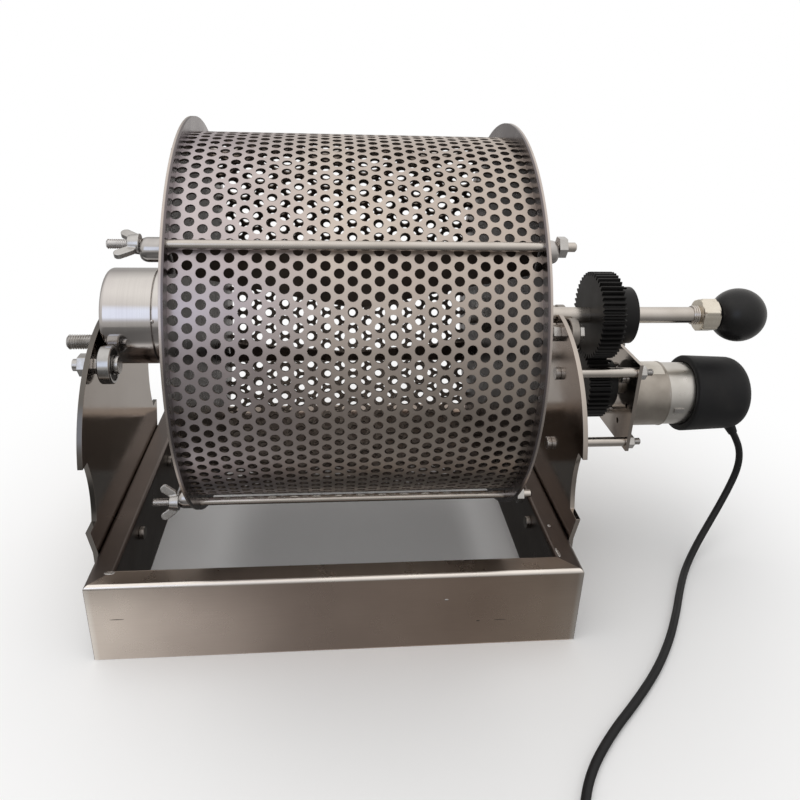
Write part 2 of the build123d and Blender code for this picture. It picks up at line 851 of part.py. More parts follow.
# Mixing vanes: plates that lean from the shell's wall toward the beans
def mixing_vane(angle, end_depth, middle_depth):
    """One vane along the shell's wall, with a straight welded edge and an edge that bends midway."""
    lean = radians(angle + 180 - vane_tilt)
    inward = Vector(0, cos(lean), sin(lean))
    edge = axis_plane(0, (shell_bore * cos(radians(angle)), shell_bore * sin(radians(angle)))).origin
    face = Plane(edge, x_dir=(1, 0, 0), z_dir=Vector(1, 0, 0).cross(inward))
    half_length = shell_end_x - vane_end_gap
    with BuildPart() as vane:
        with BuildSketch(face):
            with BuildLine():
                Polyline(
                    (-half_length, -vane_thickness),
                    (half_length, -vane_thickness),
                    (half_length, end_depth),
                    (0, middle_depth),
                    (-half_length, end_depth),
                    close=True,
                )
            make_face()
        extrude(amount=vane_thickness / 2, both=True)
        with BuildSketch(axis_plane(-shell_end_x)):
            Circle(shell_bore - seat_clearance)
        extrude(amount=2 * shell_end_x, mode=Mode.INTERSECT)
    return vane


vane_angle = first_rod_angle - vane_rod_offset
with BuildPart() as mixing_vanes:
    add(mixing_vane(vane_angle, pointed_vane_end_depth, pointed_vane_middle_depth).part)
    add(mixing_vane(vane_angle + 180, notched_vane_end_depth, notched_vane_middle_depth).part)
write(mixing_vanes, "mixing_vanes")


# End plates

def end_plate(start_x, centre_bore=0.0):
    """Round end plate with a hole for each tie rod and, on one side, for the shaft."""
    with BuildPart() as plate:
        with BuildSketch(axis_plane(start_x)):
            Circle(end_plate_radius)
            with Locations(*rod_points):
                Circle(tie_rod_radius + seat_clearance, mode=Mode.SUBTRACT)
            if centre_bore:
                Circle(centre_bore, mode=Mode.SUBTRACT)
        extrude(amount=end_plate_thickness)
    return plate


end_plate_left = end_plate(left_face_x)
end_plate_right = end_plate(shell_end_x, shaft_radius + seat_clearance)
write(end_plate_left, "end_plate_left")
write(end_plate_right, "end_plate_right")

# Tie rods, their bushes, the nuts on the motor side and the wing nuts on the neck side
rod_bore = tie_rod_radius + seat_clearance
left_bush_x = left_face_x - left_bush_length
right_bush_x = right_face_x + right_bush_length
rod_nut_end_x = right_bush_x + rod_nut_height
rod_left_x = left_bush_x - wing_nut_body_height - rod_past_wing_nut
rod_right_x = rod_nut_end_x + rod_dome_length
with BuildPart() as tie_rods:
    add(tubes(rod_left_x, rod_right_x, tie_rod_radius, rod_points).part)
    fillet(tie_rods.faces().group_by(Axis.X)[-1].edges(), rod_dome_radius)
left_rod_bushes = tubes(left_bush_x, left_face_x, rod_bush_radius, rod_points, rod_bore)
right_rod_bushes = tubes(right_face_x, right_bush_x, rod_bush_radius, rod_points, rod_bore)
rod_nuts = hex_nuts(right_bush_x, rod_nut_end_x, rod_nut_across_flats, rod_bore, rod_points)
write(tie_rods, "tie_rods")
write(left_rod_bushes, "left_rod_bushes")
write(right_rod_bushes, "right_rod_bushes")
write(rod_nuts, "rod_nuts")


def wing_nut(point, turn):
    """Wing nut that seats on a left bush, with its wings turned about the rod."""
    outward = Vector(-1, 0, 0)
    wing_way = Vector(0, cos(radians(turn)), sin(radians(turn)))
    seat_point = Vector(drum_middle_x + left_bush_x, point[0], axis_height + point[1])
    seat_point += outward * running_clearance
    wing_side = wing_way.cross(outward)
    seat = Plane(origin=seat_point, x_dir=wing_side, z_dir=outward)
    wing_plane = Plane(origin=seat_point, x_dir=wing_way, z_dir=wing_side)
    with BuildPart() as nut:
        with Locations(seat):
            Cone(
                wing_nut_base_radius,
                wing_nut_top_radius,
                wing_nut_body_height,
                align=(Align.CENTER, Align.CENTER, Align.MIN),
            )
        with BuildSketch(wing_plane.offset(-wing_thickness / 2)):
            for side in (-1, 1):
                with Locations((side * wing_centre_radius, wing_centre_height)):
                    SlotCenterToCenter(wing_length, wing_width, rotation=side * wing_slant)
        extrude(amount=wing_thickness)
        with BuildSketch(seat):
            Circle(tie_rod_radius + running_clearance)
        extrude(amount=wing_nut_body_height, mode=Mode.SUBTRACT)
    return nut


for number, (point, turn) in enumerate(zip(rod_points, wing_nut_turns), start=1):
    write(wing_nut(point, turn), f"wing_nut_{number}")

# Neck: collar on the left end plate, and a drawn cup whose spigot sits inside the collar
neck_bore = neck_radius - neck_wall
neck_collar = tubes(neck_slit_x, left_face_x, neck_radius, [(0, 0)], neck_bore)
write(neck_collar, "neck_collar")

spigot_radius = neck_bore - seat_clearance
with BuildPart() as neck_cup:
    with BuildSketch(axis_plane(neck_end_x)):
        Circle(neck_radius)
    extrude(amount=neck_cup_length)
    fillet(neck_cup.faces().sort_by(Axis.X)[0].edges(), neck_edge_radius)
    with BuildSketch(axis_plane(neck_cup_x)):
        Circle(spigot_radius)
    extrude(amount=neck_slit + spigot_length)
    with BuildSketch(axis_plane(neck_end_x + neck_wall)):
        Circle(spigot_radius - spigot_wall)
    extrude(amount=neck_cup_length + neck_slit + spigot_length, mode=Mode.SUBTRACT)
write(neck_cup, "neck_cup")

# Drum shaft with a weld flare at the end plate, the nut inside, the lock nut and the knob
with BuildPart() as drum_shaft:
    with BuildSketch(axis_plane(shaft_inner_x)):
        Circle(shaft_radius)
    extrude(amount=shaft_length)
    with BuildSketch(axis_plane(thread_x)):
        Circle(thread_radius)
    extrude(amount=thread_before_nut + lock_nut_height + thread_in_knob)
    with BuildSketch(axis_plane(right_face_x)):
        Circle(shaft_flare_radius)
    with BuildSketch(axis_plane(right_face_x + shaft_flare_length)):
        Circle(shaft_radius)
    loft()
write(drum_shaft, "drum_shaft")

hub_nut = hex_nuts(
    hub_nut_x,
    hub_nut_x + hub_nut_height,
    hub_nut_across_flats,
    shaft_radius + seat_clearance,
    [(0, 0)],
)
write(hub_nut, "hub_nut")

lock_nut = hex_nuts(
    lock_nut_x, knob_face_x, lock_nut_across_flats, thread_radius + seat_clearance, [(0, 0)]
)
write(lock_nut, "lock_nut")

with BuildPart() as ball_knob:
    with Locations(axis_plane(knob_centre_x)):
        Sphere(knob_radius)
    split(bisect_by=axis_plane(knob_face_x), keep=Keep.TOP)
    with BuildSketch(axis_plane(knob_face_x)):
        Circle(thread_radius + seat_clearance)
    extrude(amount=thread_in_knob + seat_clearance, mode=Mode.SUBTRACT)
write(ball_knob, "ball_knob")

# Cord: hangs from the grommet, lies along the floor to the front and ends in a tied coil
coil_height = cord_radius + tie_thickness + tie_clearance
cord_start = grommet_point + grommet_way * grommet_projection
cord_points = [
    cord_start,
    cord_start + grommet_way * cord_first_run,
    Vector(190.8, -10.5, 57.8),
    Vector(190.6, -11.6, 48.8),
    Vector(187.5, -13.2, 38.8),
    Vector(181.8, -16.6, 28.2),
    Vector(173.5, -22.5, 18.0),
    Vector(163.0, -31.2, 9.0),
    Vector(151.5, -43.5, cord_radius),
    Vector(140.6, -60.3, cord_radius),
    Vector(129.9, -78.4, cord_radius),
    Vector(117.8, -96.7, cord_radius),
    Vector(103.3, -114.6, cord_radius),
    Vector(86.2, -131.4, cord_radius),
    Vector(68.2, -147.3, cord_radius),
    Vector(52.1, -165.1, cord_radius),
    Vector(42.5, -184.9, 2.4),
    Vector(39.4, -204.7, coil_height),
    Vector(39.4, -222.7, coil_height),
]


def bend_radius(before, corner, after):
    """Largest even bend at a corner of the cord's route."""
    arriving = corner - before
    leaving = after - corner
    turn = radians(arriving.get_angle(leaving))
    return cord_bend_share * min(arriving.length, leaving.length) / tan(turn / 2)


cord_radii = [bend_radius(*cord_points[i : i + 3]) for i in range(len(cord_points) - 2)]
print("cord bend radii", [round(radius, 1) for radius in cord_radii])
with BuildPart() as cord_run:
    with BuildLine() as cord_route:
        FilletPolyline(*cord_points, radius=cord_radii)
    with BuildSketch(Plane(origin=cord_points[0], z_dir=grommet_way)):
        Circle(cord_radius)
    sweep()
write(cord_run, "cord_run")
cord_run_length = cord_route.wire().length
print("cord run length", round(cord_run_length, 1))
cord_section = pi * cord_radius**2
print("cord run volume share", round(cord_run.part.volume / (cord_section * cord_run_length), 4))

# Coil: spirals in on the floor, climbs one layer in a half turn and spirals out on top.
# Each half turn is a half circle between points on the coil's middle line.
coil_start = cord_points[-1]
coil_centre = Vector(coil_start.X - coil_outer_radius, coil_start.Y - 2 * cord_radius, coil_height)
half_turn_step = coil_turn_pitch / 2
coil_radii = [coil_outer_radius - half_turn_step * turn for turn in range(coil_half_turns_in + 2)]
outward_start = coil_radii[-2] + coil_reversal_step
coil_radii += [outward_start + half_turn_step * turn for turn in range(coil_half_turns_out)]
coil_rises = [0.0] * (coil_half_turns_in + 1) + [coil_layer_pitch] * (coil_half_turns_out + 1)
coil_knots = [
    coil_centre + Vector(radius if knot % 2 == 0 else -radius, 0, rise)
    for knot, (radius, rise) in enumerate(zip(coil_radii, coil_rises))
]
coil_end = coil_knots[-1] - Vector(0, coil_tail, 0)
with BuildPart() as cord_coil:
    with BuildLine() as coil_route:
        Line(coil_start, coil_knots[0])
        for knot, (start, end) in enumerate(zip(coil_knots, coil_knots[1:])):
            bulge = (end - start).length / 2 * (-1 if knot % 2 == 0 else 1)
            ThreePointArc(start, (start + end) / 2 + Vector(0, bulge, 0), end)
        Line(coil_knots[-1], coil_end)
    with BuildSketch(Plane(origin=coil_start, z_dir=(0, -1, 0))):
        Circle(cord_radius)
    sweep()
write(cord_coil, "cord_coil")
coil_length = coil_route.wire().length
print("coil length", round(coil_length, 1), "cord length", round(cord_run_length + coil_length, 1))
print("coil volume share", round(cord_coil.part.volume / (cord_section * coil_length), 4))


def least_gap(path, smallest_radius):
    """Least free space between turns of the cord along a path, measured on points."""
    step = cord_radius
    count = int(path.length / step)
    points = [path @ (i / count) for i in range(count + 1)]
    skip = int(pi * smallest_radius / step)
    least = min(
        (first - second).length
        for i, first in enumerate(points)
        for second in points[i + skip :]
    )
    return least - 2 * cord_radius


print("least gap between coil turns", round(least_gap(coil_route.wire(), min(coil_radii)), 2))

# Tie round all the turns at the back of the coil
tie_inner_radius = min(coil_radii[-coil_half_turns_out - 1 :]) - cord_radius - tie_clearance
tie_outer_radius = coil_outer_radius + cord_radius + tie_clearance
tie_corner = cord_radius + tie_clearance
tie_hole_width = tie_outer_radius - tie_inner_radius
tie_hole_height = coil_layer_pitch + 2 * tie_corner
tie_plane = Plane(
    origin=coil_centre + Vector(-tie_width / 2, 0, coil_layer_pitch / 2),
    x_dir=(0, 1, 0),
    z_dir=(1, 0, 0),
)
with BuildPart() as cord_tie:
    with BuildSketch(tie_plane):
        with Locations(((tie_inner_radius + tie_outer_radius) / 2, 0)):
            RectangleRounded(
                tie_hole_width + 2 * tie_thickness,
                tie_hole_height + 2 * tie_thickness,
                tie_corner + tie_thickness,
            )
            RectangleRounded(tie_hole_width, tie_hole_height, tie_corner, mode=Mode.SUBTRACT)
    extrude(amount=tie_width)
write(cord_tie, "cord_tie")

# Barrel plug on the coil's end
plug_plane = Plane(origin=coil_end, z_dir=(0, -1, 0))
with BuildPart() as plug_grip:
    with BuildSketch(plug_plane):
        Circle(cord_radius + tie_thickness)
    with BuildSketch(plug_plane.offset(plug_relief_length)):
        Circle(plug_grip_radius)
    loft()
    with BuildSketch(plug_plane.offset(plug_relief_length)):
        Circle(plug_grip_radius)
    extrude(amount=plug_grip_length)
write(plug_grip, "plug_grip")

with BuildPart() as plug_barrel:
    with BuildSketch(plug_plane.offset(plug_relief_length + plug_grip_length)):
        Circle(plug_barrel_radius)
    extrude(amount=plug_barrel_length)
    with BuildSketch(plug_plane.offset(plug_relief_length + plug_grip_length + plug_barrel_length)):
        Circle(plug_barrel_radius - plug_barrel_wall)
    extrude(amount=-plug_barrel_length + plug_barrel_wall, mode=Mode.SUBTRACT)
write(plug_barrel, "plug_barrel")
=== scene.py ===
"""Looks of an electric drum roaster: finishes, perforated drum, threads, cord and a plain studio."""

import math

import bmesh
import bpy
from mathutils import Matrix, Vector

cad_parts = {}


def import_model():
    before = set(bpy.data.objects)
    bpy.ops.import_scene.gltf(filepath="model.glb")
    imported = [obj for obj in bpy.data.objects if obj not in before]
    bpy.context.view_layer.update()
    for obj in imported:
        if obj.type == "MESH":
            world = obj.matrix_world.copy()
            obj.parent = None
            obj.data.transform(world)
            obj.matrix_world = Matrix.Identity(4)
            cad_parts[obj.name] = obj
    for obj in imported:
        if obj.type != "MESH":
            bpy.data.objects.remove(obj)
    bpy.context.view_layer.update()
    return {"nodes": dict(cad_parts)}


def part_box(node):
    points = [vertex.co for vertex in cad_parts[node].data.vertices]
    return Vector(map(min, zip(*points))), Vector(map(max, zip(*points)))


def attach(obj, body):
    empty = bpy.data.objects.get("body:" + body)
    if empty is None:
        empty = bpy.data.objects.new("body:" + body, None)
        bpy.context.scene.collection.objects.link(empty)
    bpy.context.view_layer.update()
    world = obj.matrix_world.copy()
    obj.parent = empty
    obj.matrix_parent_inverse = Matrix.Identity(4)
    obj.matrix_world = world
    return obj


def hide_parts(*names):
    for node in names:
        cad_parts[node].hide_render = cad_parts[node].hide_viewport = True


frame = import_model()
nodes = frame["nodes"]

MM = 0.001

# The drum's axis runs along X
shell_low, shell_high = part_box("drum_shell")
drum_middle_x = (shell_low.x + shell_high.x) / 2
axis_y = 0.0
axis_z = (shell_low.z + shell_high.z) / 2
shell_radius = (shell_high.z - shell_low.z) / 2
drum_half_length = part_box("end_plate_right")[1].x - drum_middle_x
PLATE_THICKNESS = 2.0 * MM

# Camera, in millimetres, degrees and pixels of the 800 by 800 photograph
CAMERA_PLACE = Vector((-53.32, -360.13, 273.33)) * MM
CAMERA_YAW = math.radians(5.588)
CAMERA_PITCH = math.radians(22.735)
CAMERA_ROLL = math.radians(1.817)
PHOTO_SIZE = 800
FOCAL_PIXELS = 711.06
PRINCIPAL_POINT = (394.28, 352.23)
SENSOR_WIDTH = 36.0
NEAREST_SEEN = 10 * MM


def placed(name, data):
    """New object in the scene."""
    obj = bpy.data.objects.new(name, data)
    bpy.context.scene.collection.objects.link(obj)
    return obj


def photo_camera():
    """Camera at the photograph's place, with its framing."""
    forward = Vector(
        (
            math.sin(CAMERA_YAW) * math.cos(CAMERA_PITCH),
            math.cos(CAMERA_YAW) * math.cos(CAMERA_PITCH),
            -math.sin(CAMERA_PITCH),
        )
    )
    level_right = Vector((math.cos(CAMERA_YAW), -math.sin(CAMERA_YAW), 0))
    level_up = level_right.cross(forward)
    right = level_right * math.cos(CAMERA_ROLL) + level_up * math.sin(CAMERA_ROLL)
    up = level_up * math.cos(CAMERA_ROLL) - level_right * math.sin(CAMERA_ROLL)
    data = bpy.data.cameras.new("photo_camera")
    data.sensor_width = SENSOR_WIDTH
    data.lens = SENSOR_WIDTH * FOCAL_PIXELS / PHOTO_SIZE
    data.shift_x = 0.5 - PRINCIPAL_POINT[0] / PHOTO_SIZE
    data.shift_y = PRINCIPAL_POINT[1] / PHOTO_SIZE - 0.5
    data.clip_start = NEAREST_SEEN
    camera = placed("photo_camera", data)
    turned = Matrix((right, up, -forward)).transposed().to_4x4()
    camera.matrix_world = Matrix.Translation(CAMERA_PLACE) @ turned
    bpy.context.scene.camera = camera


# Materials. New ranges that a value is spread to.
RISING = (0.0, 1.0)
FALLING = (1.0, 0.0)


class Graph:
    """The node tree of a material or world, and short ways to add and join its nodes."""

    def __init__(self, owner, empty=True):
        owner.use_nodes = True
        self.tree = owner.node_tree
        if empty:
            self.tree.nodes.clear()

    def add(self, kind, inputs=None, **settings):
        node = self.tree.nodes.new(kind)
        for key, value in settings.items():
            setattr(node, key, value)
        for key, value in (inputs or {}).items():
            self.join(value, node.inputs[key])
        return node

    def join(self, value, socket):
        if isinstance(value, bpy.types.NodeSocket):
            self.tree.links.new(value, socket)
        else:
            socket.default_value = value

    def sum(self, way, first, second=0.0):
        """Result of a sum on two values, such as ADD or MULTIPLY."""
        return self.add("ShaderNodeMath", {0: first, 1: second}, operation=way).outputs["Value"]

    def parts(self, vector):
        """X, Y and Z of a vector."""
        return self.add("ShaderNodeSeparateXYZ", {"Vector": vector}).outputs

    def spread(self, value, old, new=RISING, **settings):
        """Moves a value from an old range to a new one, clamped."""
        inputs = {"Value": value, 1: old[0], 2: old[1], 3: new[0], 4: new[1]}
        return self.add("ShaderNodeMapRange", inputs, **settings).outputs["Result"]


class Finish(Graph):
    """A material of the object, with textures that follow the object's own coordinates."""

    def __init__(self, name):
        self.material = bpy.data.materials.new(name)
        super().__init__(self.material, empty=False)
        self.shader = self.tree.nodes["Principled BSDF"]
        coordinates = self.add("ShaderNodeTexCoord").outputs
        self.place = coordinates["Object"]
        self.facing = coordinates["Normal"]

    def noise(self, stretch, detail=2.0, rough=0.55):
        """Noise from 0 to 1 whose grains are 1/stretch metres long on each axis."""
        mapped = self.add("ShaderNodeMapping", {"Vector": self.place, "Scale": stretch})
        node = self.add(
            "ShaderNodeTexNoise",
            {"Vector": mapped.outputs["Vector"], "Scale": 1.0, "Detail": detail, "Roughness": rough},
        )
        return node.outputs["Fac"]

    def blend(self, factor, first, second, way="MIX"):
        """Colour between two colours, or the first one times the second."""
        node = self.add("ShaderNodeMix", {0: factor}, data_type="RGBA", blend_type=way)
        self.join(first, node.inputs[6])
        self.join(second, node.inputs[7])
        return node.outputs[2]

    def gradient(self, stops):
        """Colour that changes along X, from stops of (place in millimetres, colour)."""
        first, last = stops[0][0], stops[-1][0]
        share = self.spread(self.parts(self.place)["X"], (first * MM, last * MM))
        ramp = self.add("ShaderNodeValToRGB", {"Fac": share})
        elements = ramp.color_ramp.elements
        for _ in stops[2:]:
            elements.new(0.5)
        for element, (place, tint) in zip(elements, stops):
            element.position = (place - first) / (last - first)
            element.color = tint
        return ramp.outputs["Color"]

    def distances(self, centre):
        """How far a point is from a centre along X, Y and Z, without regard to side."""
        offset = self.add("ShaderNodeVectorMath", {0: self.place, 1: centre}, operation="SUBTRACT")
        size = self.add("ShaderNodeVectorMath", {0: offset.outputs["Vector"]}, operation="ABSOLUTE")
        return self.parts(size.outputs["Vector"])

    def relief(self, height, depth):
        """Bump of a given depth in metres."""
        inputs = {"Height": height, "Strength": 1.0, "Distance": depth}
        return self.add("ShaderNodeBump", inputs).outputs["Normal"]

    def shade(self, **inputs):
        """Sets the shader's sockets, named with underscores for spaces."""
        for key, value in inputs.items():
            self.join(value, self.shader.inputs[key.replace("_", " ")])
        return self.material


def colour(red, green, blue):
    return (red, green, blue, 1.0)


# Ranges of the noise over which patches, marks and wear come in and gloss changes
PATCH_RANGE = (0.35, 0.65)
MARK_RANGE = (0.5, 0.75)
WEAR_RANGE = (0.5, 0.75)
GLOSS_RANGE = (0.3, 0.7)
GLOSS_PATCHES = 3
WORN_PATCH = (70.0,) * 3


def steel(name, tint, patch_shade, patch_size, gloss, grain, grain_depth, grain_shade=1.0, zones=()):
    """Metal with shaded patches, uneven gloss and a grain stretched along an axis.

    The tint is one colour, or a list of stops along X. Shades multiply it. Each zone is a
    function that masks a part of the surface, and that part's colour.
    """
    finish = Finish(name)
    base = finish.gradient(tint) if isinstance(tint, list) else tint
    for mask, zone_tint in zones:
        base = finish.blend(mask(finish), base, zone_tint)
    patches = finish.noise((1 / patch_size,) * 3, detail=3.0)
    shaded = finish.spread(patches, PATCH_RANGE)
    base = finish.blend(shaded, base, colour(*patch_shade), "MULTIPLY")
    lines = finish.noise(grain, detail=3.0, rough=0.65)
    if grain_shade < 1:
        marked = finish.spread(lines, MARK_RANGE)
        base = finish.blend(marked, base, colour(*(grain_shade,) * 3), "MULTIPLY")
    uneven = finish.noise((GLOSS_PATCHES / patch_size,) * 3, detail=4.0)
    rough = finish.spread(uneven, GLOSS_RANGE, gloss)
    normal = finish.relief(lines, grain_depth)
    return finish.shade(Base_Color=base, Metallic=1.0, Roughness=rough, Normal=normal)


def moulded(name, tint, worn_tint, gloss, grain_size, grain_depth, shine=0.5):
    """Plastic, rubber or paper with a fine skin texture and paler worn patches."""
    finish = Finish(name)
    patches = finish.noise(WORN_PATCH, detail=5.0)
    base = finish.blend(finish.spread(patches, WEAR_RANGE), tint, worn_tint)
    skin_grain = finish.noise((1 / grain_size,) * 3, detail=2.0)
    rough = finish.spread(patches, GLOSS_RANGE, gloss)
    normal = finish.relief(skin_grain, grain_depth)
    return finish.shade(Base_Color=base, Roughness=rough, Normal=normal, Specular_IOR_Level=shine)


# Grains per metre along each axis
FINE = 6000.0
LONG = 40.0
BROAD = 12.0
ALONG_X = (LONG, FINE, FINE)
ALONG_Y = (FINE, LONG, FINE)
ROUND_X = (FINE, BROAD, BROAD)
EVEN = (2500.0,) * 3

# Finishes of the drum
# Painted reflection: the drum's tint changes along X, lilac grey at the left end, warm in the middle
# and darker at the right end, for the surroundings the steel reflects.
drum_reflection_tints = [
    (-120.0, colour(0.55, 0.50, 0.52)),
    (-95.0, colour(0.57, 0.51, 0.51)),
    (-52.0, colour(0.60, 0.53, 0.475)),
    (37.0, colour(0.52, 0.455, 0.40)),
]
drum_steel = steel(
    "drum_steel_satin", drum_reflection_tints, (0.88, 0.87, 0.89), 50 * MM, (0.30, 0.42), ROUND_X, 0.004 * MM
)
# The drum's inner side, hole walls and mixing vanes are darker: partly heat tint of the steel, partly
# painted shade of the drum's inside.
drum_inside = steel(
    "drum_steel_inside", colour(0.24, 0.205, 0.18), (0.6, 0.58, 0.56), 30 * MM,
    (0.40, 0.55), ROUND_X, 0.004 * MM,
)
FACE_BLUR = 0.2 * MM
ENCLOSED_SHADE_BLUR = 1.5 * MM


def inner_side(finish):
    """Side of an end plate that faces the drum's inside, which gets painted shade."""
    along = finish.distances((drum_middle_x, 0, 0))["X"]
    half = drum_half_length - PLATE_THICKNESS / 2
    return finish.spread(along, (half - FACE_BLUR, half + FACE_BLUR), FALLING)


def enclosed_painted_shade(finish):
    """Part of an end plate's inner side that the sheet encloses, where the painted shade is nearly
    black.
    """
    apart = finish.distances((0, axis_y, axis_z))
    squares = [finish.sum("MULTIPLY", apart[way], apart[way]) for way in ("Y", "Z")]
    radius = finish.sum("SQRT", finish.sum("ADD", *squares))
    enclosed = finish.spread(radius, (shell_radius - ENCLOSED_SHADE_BLUR, shell_radius), FALLING)
    return finish.sum("MULTIPLY", enclosed, inner_side(finish))


# Painted shade: the end plates are darker on their inner side, and nearly black where the sheet
# encloses them.
plate_steel = steel(
    "end_plate_steel", colour(0.60, 0.54, 0.50), (0.85, 0.84, 0.85), 40 * MM,
    (0.22, 0.34), EVEN, 0.003 * MM,
    zones=[(inner_side, colour(0.19, 0.17, 0.175)), (enclosed_painted_shade, colour(0.07, 0.06, 0.06))],
)
neck_steel = steel(
    "neck_steel_turned", colour(0.65, 0.625, 0.605), (0.92, 0.90, 0.92), 30 * MM,
    (0.08, 0.15), ROUND_X, 0.006 * MM, grain_shade=0.86,
)

# Finishes of the rails. Shares are of the bend's radius.
rail_low, rail_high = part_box("rail_front")
RAIL_BEND = 2.0 * MM
TOP_FACE_SHARES = (0.3, 0.05)
BEND_LINE_SHARES = (0.02, 0.22)
END_PALE_REACH = (3.0 * MM, 0.9 * MM)
END_PALE_SHARE = 0.9
RAIL_SHADE = (0.86, 0.85, 0.85)
RAIL_GRAIN_SHADE = 0.9


def upper_face(finish):
    """Flat top of a rail, which gets a darker painted reflection."""
    height = finish.distances((0, 0, 0))["Z"]
    return finish.spread(height, [rail_high.z - share * RAIL_BEND for share in TOP_FACE_SHARES])


def bend_highlight(finish):
    """Painted highlight along the rail's upper bend, and a paler band at its two ends."""
    centre_x = (rail_low.x + rail_high.x) / 2
    half = (rail_high.x - rail_low.x) / 2
    apart = finish.distances((centre_x, 0, 0))
    outward = finish.sum("ADD", apart["Y"], apart["Z"])
    bend = -rail_low.y + rail_high.z - RAIL_BEND
    line = finish.spread(outward, [bend + share * RAIL_BEND for share in BEND_LINE_SHARES])
    ends = finish.spread(apart["X"], [half - wear for wear in END_PALE_REACH], (0.0, END_PALE_SHARE))
    return finish.sum("MAXIMUM", line, ends)


# The long rails' tint is partly the steel's brown tone, partly painted reflection: paler towards both
# ends, darker in the middle.
rail_tints = [
    (-168.0, colour(0.80, 0.72, 0.65)),
    (-120.0, colour(0.68, 0.585, 0.525)),
    (-60.0, colour(0.56, 0.45, 0.39)),
    (20.0, colour(0.53, 0.41, 0.335)),
    (55.0, colour(0.61, 0.49, 0.40)),
    (71.0, colour(0.74, 0.63, 0.54)),
]
# Painted reflection: the long rails' flat tops are darker.
rail_steel_x = steel(
    "rail_steel_long", rail_tints, RAIL_SHADE, 60 * MM, (0.24, 0.36), ALONG_X, 0.004 * MM,
    RAIL_GRAIN_SHADE,
    # Painted highlight along the upper bend, and paler ends.
    [(upper_face, colour(0.38, 0.32, 0.275)), (bend_highlight, colour(0.95, 0.90, 0.84))],
)
# Painted shade: the side rails are much darker than the long rails of the same steel, for the shade
# inside the base.
rail_steel_y = steel(
    "rail_steel_cross", colour(0.165, 0.14, 0.128), RAIL_SHADE, 60 * MM, (0.26, 0.38), ALONG_Y,
    0.004 * MM, RAIL_GRAIN_SHADE,
)

# Finish of the uprights
EDGE_FACING = (0.2, 0.5)
LEFT_HALF_X = (-100 * MM, 0.0)


def shaded_left_edge(finish):
    """Edge of the left upright, where its surface doesn't face along X, darker as painted shade."""
    facing = finish.sum("ABSOLUTE", finish.parts(finish.facing)["X"])
    edge = finish.spread(facing, EDGE_FACING, FALLING)
    left = finish.spread(finish.parts(finish.place)["X"], LEFT_HALF_X, FALLING)
    return finish.sum("MULTIPLY", edge, left)


# Painted shade: the left upright's edges are darker.
upright_steel = steel(
    "upright_steel_polished", colour(0.50, 0.45, 0.41), (0.9, 0.89, 0.88), 50 * MM,
    (0.10, 0.18), ALONG_Y, 0.0012 * MM, zones=[(shaded_left_edge, colour(0.15, 0.14, 0.13))],
)

# Finishes of bars, fasteners, bearings and the motor
bar_steel = steel(
    "bar_steel_drawn", colour(0.64, 0.60, 0.56), (0.88, 0.87, 0.86), 20 * MM,
    (0.16, 0.28), ROUND_X, 0.002 * MM,
)
bush_steel = steel(
    "bush_steel_polished", colour(0.55, 0.53, 0.52), (0.8, 0.8, 0.8), 10 * MM,
    (0.08, 0.16), ROUND_X, 0.001 * MM,
)
zinc = steel(
    "zinc_plating", colour(0.62, 0.61, 0.60), (0.8, 0.79, 0.78), 6 * MM,
    (0.20, 0.34), EVEN, 0.0015 * MM,
)
thread_steel = steel(
    "thread_steel_bright", colour(0.82, 0.81, 0.81), (0.85, 0.85, 0.85), 6 * MM,
    (0.20, 0.32), EVEN, 0.001 * MM,
)
dull_steel = steel(
    "dull_steel_dark", colour(0.36, 0.335, 0.31), (0.75, 0.74, 0.73), 4 * MM,
    (0.28, 0.40), EVEN, 0.0015 * MM,
)
nut_steel = steel(
    "nut_steel_cream", colour(0.80, 0.75, 0.66), (0.9, 0.89, 0.87), 8 * MM,
    (0.26, 0.38), EVEN, 0.003 * MM,
)
bearing_steel = steel(
    "bearing_steel_ground", colour(0.52, 0.515, 0.51), (0.85, 0.85, 0.85), 6 * MM,
    (0.12, 0.22), ROUND_X, 0.001 * MM,
)
gearbox_metal = steel(
    "gearbox_metal_cast", colour(0.43, 0.395, 0.355), (0.8, 0.79, 0.78), 12 * MM,
    (0.30, 0.42), EVEN, 0.004 * MM,
)
can_metal = steel(
    "motor_can_plated", colour(0.66, 0.64, 0.61), (0.88, 0.88, 0.87), 12 * MM,
    (0.26, 0.36), ROUND_X, 0.003 * MM,
)
scorched_steel = steel(
    "weld_scorch", colour(0.16, 0.14, 0.125), (0.6, 0.58, 0.56), 2 * MM,
    (0.35, 0.5), EVEN, 0.004 * MM,
)

# Finishes of plastic, rubber, cloth and paper
gear_black = moulded(
    "gear_black_nylon", colour(0.008, 0.0075, 0.0075), colour(0.016, 0.015, 0.0145),
    (0.34, 0.46), 0.4 * MM, 0.006 * MM, shine=0.22,
)
knob_black = moulded(
    "knob_black_phenolic", colour(0.007, 0.007, 0.0075), colour(0.014, 0.013, 0.013),
    (0.26, 0.38), 1.2 * MM, 0.002 * MM, shine=0.36,
)
cap_rubber = moulded(
    "cap_black_rubber", colour(0.008, 0.008, 0.009), colour(0.015, 0.0145, 0.0145),
    (0.48, 0.62), 0.5 * MM, 0.010 * MM, shine=0.28,
)
cord_rubber = moulded(
    "cord_black_rubber", colour(0.008, 0.008, 0.009), colour(0.015, 0.015, 0.015),
    (0.42, 0.55), 0.6 * MM, 0.006 * MM, shine=0.32,
)
tie_fabric = moulded(
    "tie_black_fabric", colour(0.020, 0.020, 0.022), colour(0.035, 0.035, 0.036),
    (0.75, 0.9), 0.35 * MM, 0.05 * MM,
)
seal_rubber = moulded(
    "bearing_seal_rubber", colour(0.016, 0.015, 0.015), colour(0.03, 0.028, 0.027),
    (0.4, 0.55), 0.4 * MM, 0.004 * MM,
)
